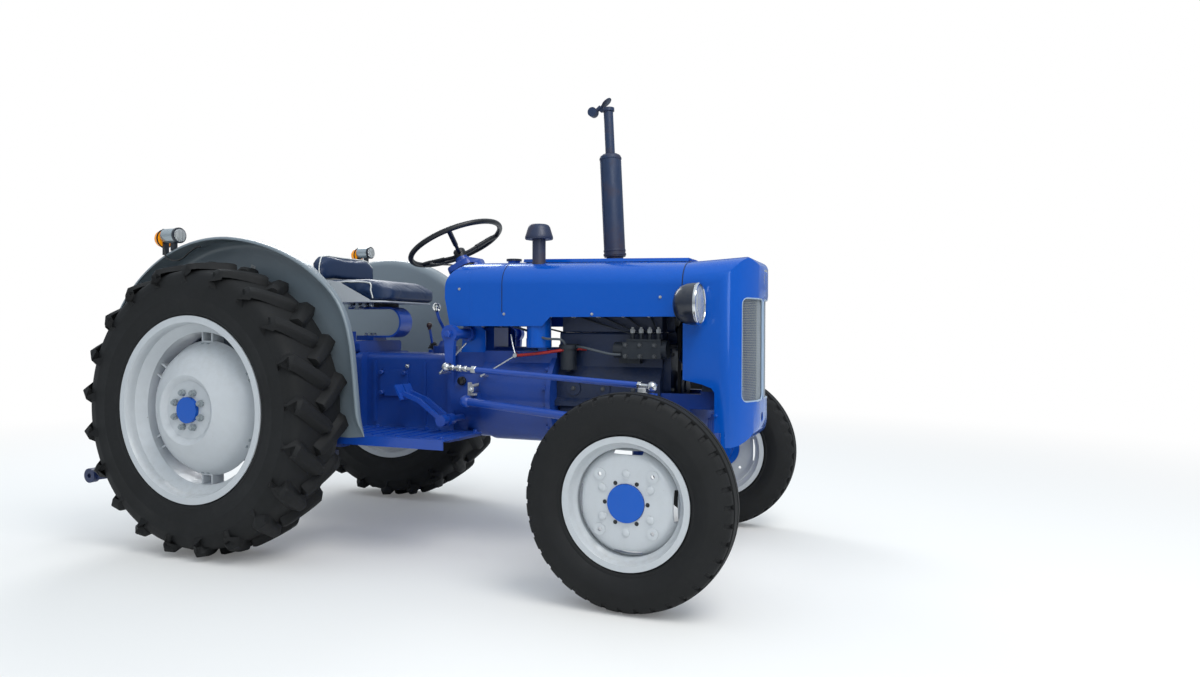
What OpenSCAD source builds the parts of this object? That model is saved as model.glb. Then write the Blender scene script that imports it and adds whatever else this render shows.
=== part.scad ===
// Vintage farm tractor with an open engine, shell fenders, a three-point linkage and an upright exhaust.
// Millimetres. +X is forward, +Y is the driver's left, +Z is up, and the ground is at z = 0.
// Modules are drawn with x = 0 on the rear axle, and each node is then moved so that the origin
// lies on the ground under the middle of the overall box.

/* [Chassis] */
// Rear axle to front axle
wheelbase = 1854; // [1780:2:1930]
// Rear wheel centre to rear wheel centre
rear_track = 1320; // [1300:2:1380]
// Front wheel centre to front wheel centre
front_track = 1320; // [1300:2:1380]
// Front of the nose, ahead of the front axle
nose_reach = 338; // [310:2:360]
// Eye of the lower links, behind the rear axle
link_reach = 870; // [830:2:900]

/* [Rear wheels] */
// Overall diameter, to the tips of the lugs
rear_tyre_d = 1220; // [1200:2:1240]
// Width of the tyre's section
rear_tyre_w = 284; // [270:2:300]
// Lugs on each side of the tread
lug_count = 21; // [18:1:24]
// Height of a lug at the crown
lug_h = 30; // [24:1:34]
// Bead seat diameter of the rim
rear_bead_d = 712; // [700:2:720]
// Rim width between the flanges
rear_rim_w = 254; // [240:2:260]
// Radius of the wheel stud circle
rear_stud_r = 75; // [70:1:80]

/* [Front wheels] */
// Overall diameter of the tyre
front_tyre_d = 734; // [720:2:740]
// Width of the tyre's section
front_tyre_w = 160; // [150:2:170]
// Bead seat diameter of the rim
front_bead_d = 406; // [400:2:410]
// Rim width between the flanges
front_rim_w = 114; // [104:2:118]
// Radius of the wheel stud circle
front_stud_r = 75; // [72:1:80]
// King pin radius
king_pin_r = 19; // [17:0.5:21]
// King pin, inboard of the wheel's centre plane
king_pin_offset = 122; // [118:1:130]

/* [Bonnet] */
// Width over the bonnet, tank and nose
hood_w = 476; // [450:2:490]
// Height of the bonnet's crown at the tank
hood_top = 1237; // [1220:1:1260]
// Lower edge of the front of the bonnet
hood_low = 992; // [980:1:1010]
// Lower edge of the tank and the rear of the bonnet
tank_low = 955; // [940:1:970]
// Radius of the shoulders
shoulder_r = 92; // [80:1:110]
// Sheet thickness
sheet = 3; // [2:0.5:4]
// Half width of the grille openings
grille_half_w = 194; // [180:1:200]

/* [Engine] */
// Width of the cylinder block
block_w = 236; // [220:2:250]
// Height of the crankshaft above the ground
crank_z = 715; // [705:1:725]
// Radius swept by the fan
fan_r = 168; // [150:1:172]
// Height of the fan's axis
fan_z = 918; // [910:1:924]

/* [Exhaust] */
// Diameter of the upright silencer
silencer_d = 94; // [84:1:104]
// Height of the top of the silencer
silencer_top = 1715; // [1600:5:1750]
// Height of the tail pipe's mouth
stack_top = 1920; // [1850:5:1950]

/* [Driver] */
// Steering wheel diameter, to the middle of the rim
steering_wheel_d = 430; // [400:2:450]
// Height of the steering wheel's centre
steering_wheel_z = 1335; // [1320:1:1350]
// Lean of the steering column from the vertical, in degrees
column_lean = 25; // [22:1:28]
// Seat cushion width
seat_w = 440; // [400:2:460]
// Height of the top of the seat cushion
seat_top = 1165; // [1150:1:1180]
// Height of the footboards
board_z = 505; // [490:1:520]

/* [Linkage] */
// Bore of the lower links' ball eyes
link_eye_r = 11.2; // [11:0.1:14.3]
// Bore of the drawbar's hole
drawbar_hole_r = 13.5; // [12:0.5:16]
// Height of the drawbar
drawbar_z = 335; // [320:1:360]

/* [Hidden] */
$fn = 48;
// seats of fixed pieces, and the radial play of turning ones
fit = 0.3;
run = 0.08;
// the front half is drawn with its axle at front_x, and stands ahead of that place by this much
front_x = 1854;
ahead = wheelbase - front_x;
nose_x = front_x + nose_reach;
rear_r = rear_tyre_d / 2;
front_r = front_tyre_d / 2;
link_eye_out = 34;
mid_x = (wheelbase + front_r - link_reach - link_eye_out) / 2;
rear_y = rear_track / 2;
front_y = front_track / 2;
king_y = front_y - king_pin_offset;
half_w = hood_w / 2;

// Colours
paint_blue = [0.05, 0.20, 0.62];
paint_dark = [0.10, 0.13, 0.20];
wheel_white = [0.80, 0.82, 0.83];
fender_grey = [0.62, 0.66, 0.68];
rubber_black = [0.07, 0.07, 0.08];
bare_steel = [0.60, 0.61, 0.62];
vinyl_black = [0.08, 0.10, 0.16];

// Helpers

// A side view, x and z, made w wide across the tractor
module side_view(w) { rotate([90, 0, 0]) linear_extrude(w, center = true) children(); }

// A front view, y and z, drawn from x0 to x1
module front_view(x0, x1) { translate([x0, 0, 0]) rotate([90, 0, 90]) linear_extrude(x1 - x0) children(); }

// A plan, x and y, drawn from z0 to z1
module plan_view(z0, z1) { translate([0, 0, z0]) linear_extrude(z1 - z0) children(); }

module both_sides() { children(); mirror([0, 1, 0]) children(); }

// side is 1 for the left and -1 for the right
module on_side(side) { if (side > 0) children(); else mirror([0, 1, 0]) children(); }

// A round bar from p to q
module rod(p, q, r) {
    v = q - p;
    translate(p) rotate([0, acos(v[2] / norm(v)), atan2(v[1], v[0])]) cylinder(h = norm(v), r = r);
}

// A box from its low corner to its high corner
module block(p, q) { translate(p) cube(q - p); }

// A cylinder along X or Y, from its low end
module x_round(p, len, r) { translate(p) rotate([0, 90, 0]) cylinder(h = len, r = r); }
module y_round(p, len, r) { translate(p) rotate([-90, 0, 0]) cylinder(h = len, r = r); }

// A 2D box with round corners, from its low corner to its high corner
module round_box(p, q, r) {
    translate([p[0] + r, p[1]]) square([q[0] - p[0] - 2 * r, q[1] - p[1]]);
    translate([p[0], p[1] + r]) square([q[0] - p[0], q[1] - p[1] - 2 * r]);
    for (x = [p[0] + r, q[0] - r], y = [p[1] + r, q[1] - r]) translate([x, y]) circle(r);
}

// The points of a strip of thickness t along a path, half of t on each side
function dir_at(path, i) =
    let (a = path[max(i - 1, 0)], b = path[min(i + 1, len(path) - 1)], v = b - a) v / norm(v);
function strip(path, t) = concat(
    [for (i = [0 : len(path) - 1]) path[i] + t / 2 * [-dir_at(path, i)[1], dir_at(path, i)[0]]],
    [for (i = [len(path) - 1 : -1 : 0]) path[i] - t / 2 * [-dir_at(path, i)[1], dir_at(path, i)[0]]]
);

// A ring of n children round the wheel's axis, which lies along Y
module ring_of(n, start = 0) { for (i = [0 : n - 1]) rotate([0, start + i * 360 / n, 0]) children(); }

// A profile, radius and y, turned round the wheel's axis
module wheel_turn() { rotate([-90, 0, 0]) rotate_extrude() children(); }

// Tyres and wheels. Each wheel is drawn with its centre at the origin and its outer face towards -Y,
// then moved to its axle.

// Half of a tyre's outline as radius and y: the bead against the rim's flange, the bulging side
// wall, the shoulder, and a tread that falls by drop from its crown to its edge
function tyre_side(bead_r, out_r, w, bead_w, tread_w, flange, drop) =
    let (foot = bead_r + flange + 4, shoulder = out_r - drop - 10, bulge = (w - bead_w) / 2 - 5)
    concat(
        [[bead_r, bead_w / 2 - 10], [foot - 3, bead_w / 2 - 0.5]],
        [for (a = [0, 0.35, 0.75]) [foot + (shoulder - foot) * a, bead_w / 2 + 5 + bulge * sin(8 + 110 * a)]],
        [[shoulder, tread_w / 2 + 6], [out_r - drop, tread_w / 2 - 3], [out_r, tread_w / 5]]
    );
function both_halves(half) = concat(
    half, [for (i = [len(half) - 1 : -1 : 0]) [half[i][0], -half[i][1]]]
);

// A tyre carcass: the outline less the air space, which the rim closes
tyre_fn = 32;
module tyre_ring(bead_r, out_r, w, bead_w, tread_w, wall, flange, drop) {
    wheel_turn($fn = tyre_fn) difference() {
        polygon(both_halves(tyre_side(bead_r, out_r, w, bead_w, tread_w, flange, drop)));
        polygon(both_halves([[bead_r - 1, bead_w / 2 - wall], [bead_r + flange + wall, w / 2 - wall],
            [out_r - 1.5 * wall - drop, tread_w / 2 - wall + 8], [out_r - 1.5 * wall, tread_w / 4]]));
    }
}

// Rear tyre: its bars stand on a carcass that is lug_h smaller. A bar is a slab, turned on its radius so that
// its nose leads, and its top follows the tread from low on the shoulder to just past the middle.
lug_turn = 34;
lug_t = 40;
lug_middle = 57;
// turns a lug's tip to the lowest point of the tyre
lug_start = 2.5;
// the tread as y and depth below the tips, and then back along inside the carcass
lug_outline = [[131, 92], [129, 31], [118, 19], [40, 4.5], [-14, 1.6], [-27, lug_h + 12], [96, lug_h + 18]];
module tread_bar() {
    translate([0, lug_middle, 0]) rotate([0, 0, 90 + lug_turn]) side_view(lug_t)
        polygon([for (p = lug_outline) let (s = (p[0] - lug_middle) * tan(lug_turn), r = rear_r - p[1])
            [(p[0] - lug_middle) / cos(lug_turn), sqrt(r * r - s * s)]]);
}
module rear_tyre(side) {
    translate([0, side * rear_y, rear_r]) color(rubber_black) {
        tyre_ring(rear_bead_d / 2 + fit, rear_r - lug_h, rear_tyre_w - 4, rear_rim_w - 2 * rim_t - 2 * fit, 250, 22,
            rear_flange, 14);
        on_side(side) {
            ring_of(lug_count, lug_start) tread_bar();
            mirror([0, 1, 0]) ring_of(lug_count, lug_start + 180 / lug_count) tread_bar();
        }
    }
}

module front_tyre(side) {
    translate([front_x, side * front_y, front_r]) color(rubber_black)
        tyre_ring(front_bead_d / 2 + fit, front_r, front_tyre_w, front_rim_w - 2 * rim_t - 2 * fit, 118, 14, front_flange, 10);
}

// A drop-centre rim's section: flange, bead seat, and the well that lets the tyre be fitted
rim_t = 6;
function rim_path(bead_r, w, flange, well) = let (s = bead_r - rim_t / 2, h = w / 2 - rim_t / 2) [
    [bead_r + flange, -h], [s + 4, -h], [s, -h + 8], [s - 2, -h + 0.16 * w], [s - well, -h + 0.3 * w],
    [s - well, h - 0.3 * w], [s - 2, h - 0.16 * w], [s, h - 8], [s + 4, h], [bead_r + flange, h]
];

rear_flange = 27;
rear_well = 34;
dish_t = 8;
// The rear disc: a recessed flat for the studs, a rolled crest, then a cone down to the rim lugs
dish_face_y = -rear_rim_w / 2 + 14;
dish_crest_r = 142;
dish_edge_r = 278;
dish_edge_y = -rear_rim_w / 2 + 112;
function dish_path() = [
    [53 + fit, dish_face_y], [118, dish_face_y], [126, dish_face_y - 5], [134, dish_face_y - 14],
    [dish_crest_r, dish_face_y - 17], [152, dish_face_y - 13], [205, dish_face_y + 16],
    [245, dish_face_y + 48], [dish_edge_r, dish_edge_y]
];
rim_lug_count = 6;

// The flat foot that joins the disc to the rim, welded to the rim's well
module rim_lug(well_r) {
    block([dish_edge_r - 34, -24, -30], [dish_edge_r + 2, -12, 30]);
    block([dish_edge_r - 8, -24, -30], [well_r - rim_t + 1, 34, -22]);
    block([dish_edge_r - 8, -24, 22], [well_r - rim_t + 1, 34, 30]);
}

module rear_rim(side) {
    bead_r = rear_bead_d / 2;
    translate([0, side * rear_y, rear_r]) on_side(-side) color(wheel_white) difference() {
        union() {
            wheel_turn($fn = tyre_fn) polygon(strip(rim_path(bead_r, rear_rim_w, rear_flange, rear_well), rim_t));
            wheel_turn() polygon(strip(dish_path(), dish_t));
            ring_of(rim_lug_count, 30) translate([0, dish_edge_y + 12, 0]) rim_lug(bead_r - rear_well);
        }
        ring_of(8, 22.5) y_round([rear_stud_r, dish_face_y - 20, 0], 40, 8 + fit);
    }
}

// Rear hub: drum and flange behind the disc, and the stub with its studs and nuts in front of it
drum_r = 158;
drum_w = 86;
hub_nose_r = 53;
module rear_hub(side) {
    translate([0, side * rear_y, rear_r]) on_side(-side) color(paint_blue) {
        difference() {
            y_round([0, dish_face_y + dish_t / 2 + fit, 0], drum_w, drum_r - 46);
            y_round([0, dish_face_y + dish_t / 2 + 26, 0], drum_w, drum_r - 58);
        }
        y_round([0, dish_face_y - 18, 0], 18 + dish_t / 2 + fit + 1, hub_nose_r);
        y_round([0, dish_face_y + dish_t / 2 + fit, 0], 150, 34);
        ring_of(8, 22.5) {
            y_round([rear_stud_r, dish_face_y - 26, 0], 34, 8);
            y_round([rear_stud_r, dish_face_y - dish_t / 2 - fit - 14, 0], 14, 14, $fn = 6);
        }
    }
}

front_flange = 20;
front_well = 16;
front_disc_t = 6;
front_disc_y = -front_rim_w / 2 + 24;
front_disc_r = 158;
// The front disc is pressed: a flat face, a rolled edge, and a skirt welded into the rim's well
function front_disc_path() = let (well_r = front_bead_d / 2 - front_well - rim_t) [
    [65, front_disc_y], [front_disc_r - 14, front_disc_y], [front_disc_r - 2, front_disc_y + 4],
    [front_disc_r + 8, front_disc_y + 16], [well_r - 2, front_disc_y + 34], [well_r - 2, front_disc_y + 50]
];

module front_rim(side) {
    bead_r = front_bead_d / 2;
    translate([front_x, side * front_y, front_r]) on_side(-side) color(wheel_white) difference() {
        union() {
            wheel_turn($fn = tyre_fn) polygon(strip(rim_path(bead_r, front_rim_w, front_flange, front_well), rim_t));
            wheel_turn() polygon(strip(front_disc_path(), front_disc_t));
            // raised rings round the four weight holes, and six stiffening dimples
            ring_of(4, 45) y_round([131, front_disc_y - 7, 0], 6, 20);
            ring_of(6, 30) y_round([90, front_disc_y - 6, 0], 5, 11);
        }
        ring_of(4, 45) y_round([131, front_disc_y - 20, 0], 40, 7);
        ring_of(6) y_round([front_stud_r, front_disc_y - 20, 0], 40, 7 + fit);
        // cooling slots at the disc's edge
        ring_of(4) translate([front_disc_r + 1, front_disc_y - 10, -52]) cube([12, 60, 104]);
    }
}

front_hub_r = 64;
module front_hub(side) {
    translate([front_x, side * front_y, front_r]) on_side(-side) color(paint_blue) difference() {
        union() {
            y_round([0, front_disc_y - 10, 0], 96, front_hub_r);
            y_round([0, front_disc_y + front_disc_t / 2 + fit, 0], 14, 92);
            ring_of(6) y_round([front_stud_r, front_disc_y - 4, 0], 20, 7);
        }
        y_round([0, front_disc_y + 3, 0], 120, spindle_r + run);
    }
}

// Steered knuckle: king pin, stub axle and the steering arm on top
spindle_r = 21;
axle_beam_z = 588;
boss_half = 68;
arm_len = 118;
arm_z = 700;
module knuckle(side) {
    on_side(side) translate([front_x, king_y, 0]) color(paint_blue) {
        translate([0, 0, front_r - 34]) cylinder(h = arm_z + 20 - front_r + 34, r = king_pin_r);
        translate([0, 0, front_r - 44]) cylinder(h = axle_beam_z - boss_half - fit - front_r + 44, r = 32);
        y_round([0, 0, front_r], king_pin_offset + 26, spindle_r);
        y_round([0, 0, front_r], 42, 30);
        translate([0, 0, axle_beam_z + boss_half + fit]) cylinder(h = arm_z + 12 - axle_beam_z - boss_half - fit, r = 29);
        plan_view(arm_z - 10, arm_z + 10) {
            polygon([[-24, 0], [24, 0], [17, -arm_len], [-17, -arm_len]]);
            translate([0, -arm_len]) circle(20);
        }
        // the ball joint's stud and its nut
        translate([0, -arm_len, arm_z - 24]) cylinder(h = 37, r = 9);
        translate([0, -arm_len, arm_z - 20]) cylinder(h = 12, r = 14, $fn = 6);
    }
}

// Front axle: a sleeve on the centre pivot, with a bar sliding in each end and a king pin boss
module front_axle() {
    color(paint_blue) difference() {
        union() {
            both_sides() {
                block([front_x - 34, 0, axle_beam_z - 36], [front_x + 34, 330, axle_beam_z + 36]);
                block([front_x - 26, 300, axle_beam_z - 28], [front_x + 26, king_y, axle_beam_z + 28]);
                translate([front_x, king_y, axle_beam_z - boss_half]) cylinder(h = 2 * boss_half, r = 34);
            }
            x_round([pivot_x, 0, axle_beam_z], pivot_w, 44);
        }
        both_sides() translate([front_x, king_y, axle_beam_z - 100]) cylinder(h = 200, r = king_pin_r + run);
        x_round([pivot_x - 5, 0, axle_beam_z], pivot_w + 10, 20);
    }
}

pivot_x = front_x - 36;
pivot_w = 76;

// Radius rods: from a ball under the clutch housing to the axle's ends
rod_ball = [1000, 290, 642];
module radius_rods() {
    front_end = [front_x - 34, 430, axle_beam_z];
    color(paint_blue) both_sides() {
        rod(rod_ball, front_end, 17);
        translate(rod_ball) sphere(26);
        y_round([rod_ball[0], 236, rod_ball[2]], 50, 13);
        block([front_x - 44, 392, axle_beam_z - 30], [front_x - 26, 468, axle_beam_z + 30]);
    }
}

// Front support: a cradle bolted to the engine that carries the radiator and the axle pivot
module front_support() {
    rail = [112, 140];
    color(paint_blue) {
        both_sides() {
            block([engine_front, rail[0], 632], [nose_x - 84, rail[1], 690]);
            // wings that hold the nose, just ahead of the cut in its sides
            block([2041, rail[1] - 2, 640], [2047, half_w - sheet - fit, 690]);
        }
        block([nose_x - 114, -rail[1], 600], [nose_x - 84, rail[1], 690]);
        // the two plates that carry the pivot pin
        block([engine_front + 2, -rail[1], 528], [pivot_x - fit, rail[1], 640]);
        block([pivot_x + pivot_w + fit, -rail[1], 528], [pivot_x + pivot_w + 26, rail[1], 640]);
        block([1962, -rail[1], 690], [2084, rail[1], 706]);
        x_round([pivot_x - 10, 0, axle_beam_z], pivot_w + 20, 20 - fit);
    }
}

// Engine: block and sump, with the flange, timing cover, side covers and core plugs
engine_rear = 1352;
engine_front = 1800;
block_top = 930;
side_covers = [1430, 1560, 1690];
skirt = 32;
module engine_block() {
    half = block_w / 2;
    low = half + skirt;
    color(paint_blue) {
        front_view(engine_rear, engine_front) {
            round_box([-half, 640], [half, block_top], 10);
            polygon([[-half, 790], [-low, 740], [-low, 660], [-low - 24, 646], [-low - 24, 628],
                [low + 24, 628], [low + 24, 646], [low, 660], [low, 740], [half, 790]]);
        }
        // sump, with its deep well at the rear
        front_view(engine_rear + 10, engine_front - 10) round_box([-low + 8, 520], [low - 8, 640], 34);
        front_view(engine_rear + 10, engine_front - 260) round_box([-low + 8, 448], [low - 8, 580], 34);
        front_view(engine_front, engine_front + 30) {
            translate([0, crank_z]) circle(70);
            round_box([-100, crank_z - 40], [100, crank_z + 150], 30);
        }
        x_round([engine_front + 28, 0, crank_z], 44, 26);
        x_round([belt_x - 12, 0, crank_z], 24, 62);
        both_sides() for (x = side_covers) y_round([x, low - 2, 700], 8, 30);
    }
}

// Cylinder head, rocker cover, thermostat housing and the water pump that carries the fan
rocker_top = 1105;
module cylinder_head() {
    color(paint_blue) {
        front_view(engine_rear + 14, engine_front) round_box([-122, block_top + fit], [122, 1028], 8);
        front_view(engine_rear + 40, engine_front - 40) {
            round_box([-66, 1010], [66, rocker_top], 26);
            translate([-78, 1024]) square([156, 12]);
        }
        for (x = side_covers) translate([x, 0, rocker_top - 4]) cylinder(h = 14, r = 11);
        translate([1626, 0, rocker_top - 4]) cylinder(h = 26, r = 24);
        x_round([engine_front, 0, fan_z], 38, 40);
        front_view(engine_front - 1, engine_front + 34) round_box([-58, block_top + fit], [58, 1050], 16);
        front_view(engine_front, engine_front + 34) translate([-44, fan_z]) square([88, 40]);
        rod([engine_front + 12, 0, 1040], [engine_front + 58, 0, 1112], 22);
        rod([engine_front + 54, 0, 1112], [1984 - fit, 0, 1112], 20);
    }
}

// Exhaust and inlet manifolds on the left of the head, with the elbow under the silencer
stack_x = 1512;
stack_y = 124;
module exhaust_manifold() {
    color(paint_dark) {
        for (x = [1400, stack_x, 1700]) y_round([x, 122 + fit, 992], 44, 22);
        x_round([1380, 170, 992], 340, 26);
        rod([stack_x, 170, 992], [stack_x, stack_y + 14, 1090], 26);
        on_stack() translate([0, 0, -fit]) mirror([0, 0, 1]) {
            cylinder(h = 12, r = 44);
            cylinder(h = 60, r = 24);
        }
        for (x = [1440, 1620]) y_round([x, 122 + fit, 950], 56, 14);
        x_round([1410, 176, 944], 240, 18);
    }
}

// Exhaust stack: flange, silencer with domed ends, tail pipe and the hinge lug of the rain cap
stack_lean = 3;
silencer_low = 1262;
module on_stack() { translate([stack_x, stack_y, 1135 + fit]) rotate([0, -stack_lean, 0]) children(); }
module exhaust_stack() {
    base = 1135;
    color(paint_dark) on_stack() difference() {
        union() {
            cylinder(h = 12, r = 46);
            cylinder(h = stack_top - base, r = 21);
            rotate_extrude() {
                translate([0, silencer_low - base]) square([silencer_d / 2, silencer_top - silencer_low - 16]);
                translate([0, silencer_low - base - 10]) square([silencer_d / 2 - 10, 20]);
                translate([0, silencer_top - base - 30]) square([silencer_d / 2 - 14, 30]);
                translate([silencer_d / 2 - 14, silencer_top - base - 16]) circle(14);
            }
            translate([0, 0, silencer_low - base + 6]) cylinder(h = 8, r = silencer_d / 2 + 3);
            translate([0, 0, stack_top - base - 14]) cylinder(h = 14, r = 27);
            translate([0, 4, stack_top - base]) rotate([90, 0, 0]) linear_extrude(8) polygon([[-24, -14], [-24, -2],
                [-29, 0], [-30, 13], [-45, 13], [-45, -4], [-34, -14]]);
        }
        translate([0, 0, silencer_top - base]) cylinder(h = 400, r = 18);
        y_round([cap_pivot[0], -10, cap_pivot[1]], 20, 3.4 + run);
    }
}

// Rain cap: a flap over the pipe's mouth with a counterweight behind its hinge, half lifted
cap_rest = 38;
cap_pivot = [-38, stack_top - 1135 + 7];
cap_weight = [-36, 9];
module rain_cap() {
    color(paint_dark) on_stack() translate([cap_pivot[0], 0, cap_pivot[1]]) rotate([0, -cap_rest, 0]) {
        translate([36.5, 0, -6]) cylinder(h = 3.5, r = 26);
        for (y = [-8.4, 4.4]) {
            translate([-7, y, -6]) cube([14, 4, 13]);
            translate([-7, y, -4]) cube([40, 4, 5]);
            translate([cap_weight[0], y, -4]) cube([40, 4, 12]);
        }
        y_round([0, -9, 0], 18, 3.4);
        y_round([cap_weight[0], -15, cap_weight[1]], 30, 21);
    }
}

// Air cleaner: an oil-bath canister in front of the tank, its intake pipe and the cap with louvres
intake = [1263, -140];
cleaner = [1284, -181];
cleaner_low = 866;
module air_cleaner() {
    color(paint_blue) {
        translate([cleaner[0], cleaner[1], cleaner_low]) cylinder(h = 196, r = 51);
        translate([cleaner[0], cleaner[1], cleaner_low + 4]) cylinder(h = 34, r = 53);
        // bracket that holds it to the top of the clutch housing
        block([cleaner[0] - 20, -148, bell_top + fit], [cleaner[0] + 20, -141, cleaner_low + 60]);
        block([cleaner[0] - 20, -148, bell_top + fit], [cleaner[0] + 20, -90, bell_top + 7]);
        rod([cleaner[0], cleaner[1] + 6, 1048], [intake[0], intake[1], 1128], 26);
    }
    color(paint_dark) translate([intake[0], intake[1], 0]) {
        translate([0, 0, 1118]) cylinder(h = 210, r = 28);
        translate([0, 0, 1320]) rotate_extrude()
            polygon([[0, 0], [57, 0], [59, 4], [59, 10], [46, 52], [40, 60], [33, 63], [0, 63]]);
    }
}

// Injection pump on the right of the block, with its governor, unions, and the twin fuel filters
pump = [1656, 826];
unions = [[1688, 1420], [1724, 1530], [1760, 1640], [1796, 1750]];
filter = [1410, 862];
module injection_pump() {
    half = block_w / 2;
    mid = half + 40;
    color(paint_dark) mirror([0, 1, 0]) {
        block([pump[0], half + fit, pump[1]], [1816, half + 76, pump[1] + 66]);
        block([pump[0] + 14, half + 16, pump[1] + 60], [1812, half + 64, pump[1] + 78]);
        x_round([1812, mid, pump[1] + 38], 24, 36);
        x_round([pump[0] - 42, mid, pump[1] + 34], 46, 32);
        block([pump[0] - 30, half + fit, pump[1] - 20], [pump[0] + 60, half + 30, pump[1] + 20]);
        for (u = unions) {
            translate([u[0], mid, pump[1] + 76]) cylinder(h = 30, r = 8);
            rod([u[0], mid, pump[1] + 97], [u[1], 126, 1000], 3.2);
        }
        // fuel filter: its head on the block, and the bowl under it
        block([filter[0] - 30, half + fit, filter[1] - 4], [filter[0] + 30, half + 30, filter[1] + 20]);
        translate([filter[0], half + 44, filter[1]]) cylinder(h = 16, r = 40);
        translate([filter[0], half + 44, filter[1] - 85]) cylinder(h = 87, r = 33);
        translate([filter[0], half + 44, filter[1] - 93]) cylinder(h = 10, r = 9);
    }
}

// Dynamo on its bracket on the left, starter motor low on the left
dynamo = [1590, 200, 862];
module dynamo_and_starter() {
    half = block_w / 2;
    color(paint_dark) {
        x_round(dynamo, 230, 50);
        x_round([dynamo[0] + 230, dynamo[1], dynamo[2]], 30, 11);
        x_round([belt_x - 12, dynamo[1], dynamo[2]], 24, 34);
        for (x = [1620, 1770]) block([x, half + fit, dynamo[2] - 52], [x + 14, dynamo[1] + 10, dynamo[2] - 38]);
        // starter motor with its switch on top, against the clutch housing's flange
        x_round([engine_rear - fit, half + 84, 790], 220, 46);
        x_round([engine_rear + 36, half + 84, 852], 110, 20);
    }
}

// Belt round the crankshaft, dynamo and fan pulleys
belt_x = 1855;
belt_wheels = [[0, crank_z, 62], [dynamo[1], dynamo[2], 34], [0, fan_z, 56]];
module belt_loop(extra) {
    hull() for (w = belt_wheels) translate([w[0], w[1]]) circle(w[2] + extra);
}
module fan_belt() {
    color(rubber_black) front_view(belt_x - 6, belt_x + 6) difference() {
        belt_loop(8);
        belt_loop(fit);
    }
}

// Fan: pulley, hub and four pitched blades
module fan() {
    color(paint_blue) translate([0, 0, fan_z]) {
        x_round([engine_front + 38 + fit, 0, 0], 14, 16);
        x_round([belt_x - 9, 0, 0], 18, 56);
        x_round([belt_x + 8, 0, 0], 38, 32);
        for (i = [0 : 3]) rotate([45 + 90 * i, 0, 0]) translate([belt_x + 38, 0, 0])
            rotate([0, 0, 28]) block([-1.5, -38, 22], [1.5, 38, fan_r]);
    }
}

// Radiator: tinned core between a top tank with its cap and a bottom tank
module radiator() {
    low = 706 + fit;
    color(paint_dark) {
        block([1996, -196, low + 54], [2052, 196, 1070]);
        block([1984, -204, low], [2062, 204, low + 56]);
        front_view(1984, 2062) round_box([-204, 1066], [204, 1158], 20);
        translate([2023, 0, 1150]) cylinder(h = 26, r = 34);
        both_sides() block([1990, 196, low + 20], [2058, 204, 1100]);
    }
}

// Sheet metal: nose, bonnet, tank and cowl share one front outline, whose crown falls forward
crown_r = 900;
hood_fall = 1.25;
tank_rear = 986;
module hood_outline(low, inset) {
    w = half_w - inset;
    r = shoulder_r - inset;
    top = hood_top - inset;
    side_top = top - 14 - r;
    intersection() {
        union() {
            translate([-w, low]) square([2 * w, side_top - low]);
            for (s = [-1, 1]) translate([s * (w - r), side_top]) circle(r);
            translate([-(w - r), low]) square([2 * (w - r), top - low]);
        }
        translate([0, top - crown_r]) circle(crown_r, $fn = 96);
    }
}

// A front view along the crown, tipped by turn degrees about the crown at x = about, and cut off square
module hood_run(x0, x1, low, turn = hood_fall, about = tank_rear) {
    intersection() {
        translate([about, 0, hood_top]) rotate([0, turn, 0]) translate([-about, 0, -hood_top])
            front_view(x0 - 30, x1 + 30) children();
        block([x0, -hood_w, low], [x1, hood_w, hood_top + 60]);
    }
}

// The nose's side and plan outlines
nose_rear = 1917;
nose_low = 500;
nose_side_low = 556;
nose_rise = 3.4;
nose_crown = hood_top - (nose_rear - tank_rear) * tan(hood_fall);
bow_r = 360;
corner_r = 95;
brow_r = 76;
chin_r = 88;
module nose_side(inset) {
    x1 = nose_x - inset;
    brow_z = nose_crown + 9 - inset - brow_r;
    chin_x = x1 - 16 - chin_r;
    difference() {
        union() {
            translate([nose_rear, nose_low + chin_r]) square([x1 - nose_rear - brow_r, nose_crown + 9 - inset - nose_low - chin_r]);
            translate([nose_rear, nose_low + chin_r]) square([x1 - nose_rear, brow_z - nose_low - chin_r]);
            translate([x1 - brow_r, brow_z]) circle(brow_r);
            translate([nose_rear, nose_low]) square([chin_x - nose_rear, chin_r + 1]);
            translate([chin_x, nose_low + chin_r]) circle(chin_r);
        }
        // the grille's face stands back from the brow above it
        polygon([[x1 - 16, nose_low + chin_r - 1], [x1 + 10, nose_low + chin_r - 1], [x1 + 10, 1104], [x1, 1094],
            [x1 - 6, 1080], [x1 - 13, 1066], [x1 - 16, 1050]]);
        // the sides stop higher than the front apron, and their rear corner is cut away over the axle
        translate([nose_rear - 1, nose_low - 20]) square([150, nose_side_low - nose_low + 20]);
        polygon([[nose_rear - 1, nose_low - 20], [nose_rear - 1, 752], [1990, 736], [2028, 722], [2040, 706], [2040, nose_low - 20]]);
    }
}
module nose_plan(inset) {
    // the bowed front and the round corners meet without a kink, and both keep their centres when inset
    corner = [nose_x - bow_r + sqrt(pow(bow_r - corner_r, 2) - pow(half_w - corner_r, 2)), half_w - corner_r];
    toward = corner - [nose_x - bow_r, 0];
    translate([nose_rear, -half_w + inset]) square([corner[0] - nose_rear, 2 * (half_w - inset)]);
    for (s = [-1, 1]) translate([corner[0], s * corner[1]]) circle(corner_r - inset);
    translate([nose_x - bow_r, 0]) intersection() {
        circle(bow_r - inset, $fn = 96);
        polygon([[0, 0], 2 * [toward[0], -toward[1]], 2 * toward]);
    }
}
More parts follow.
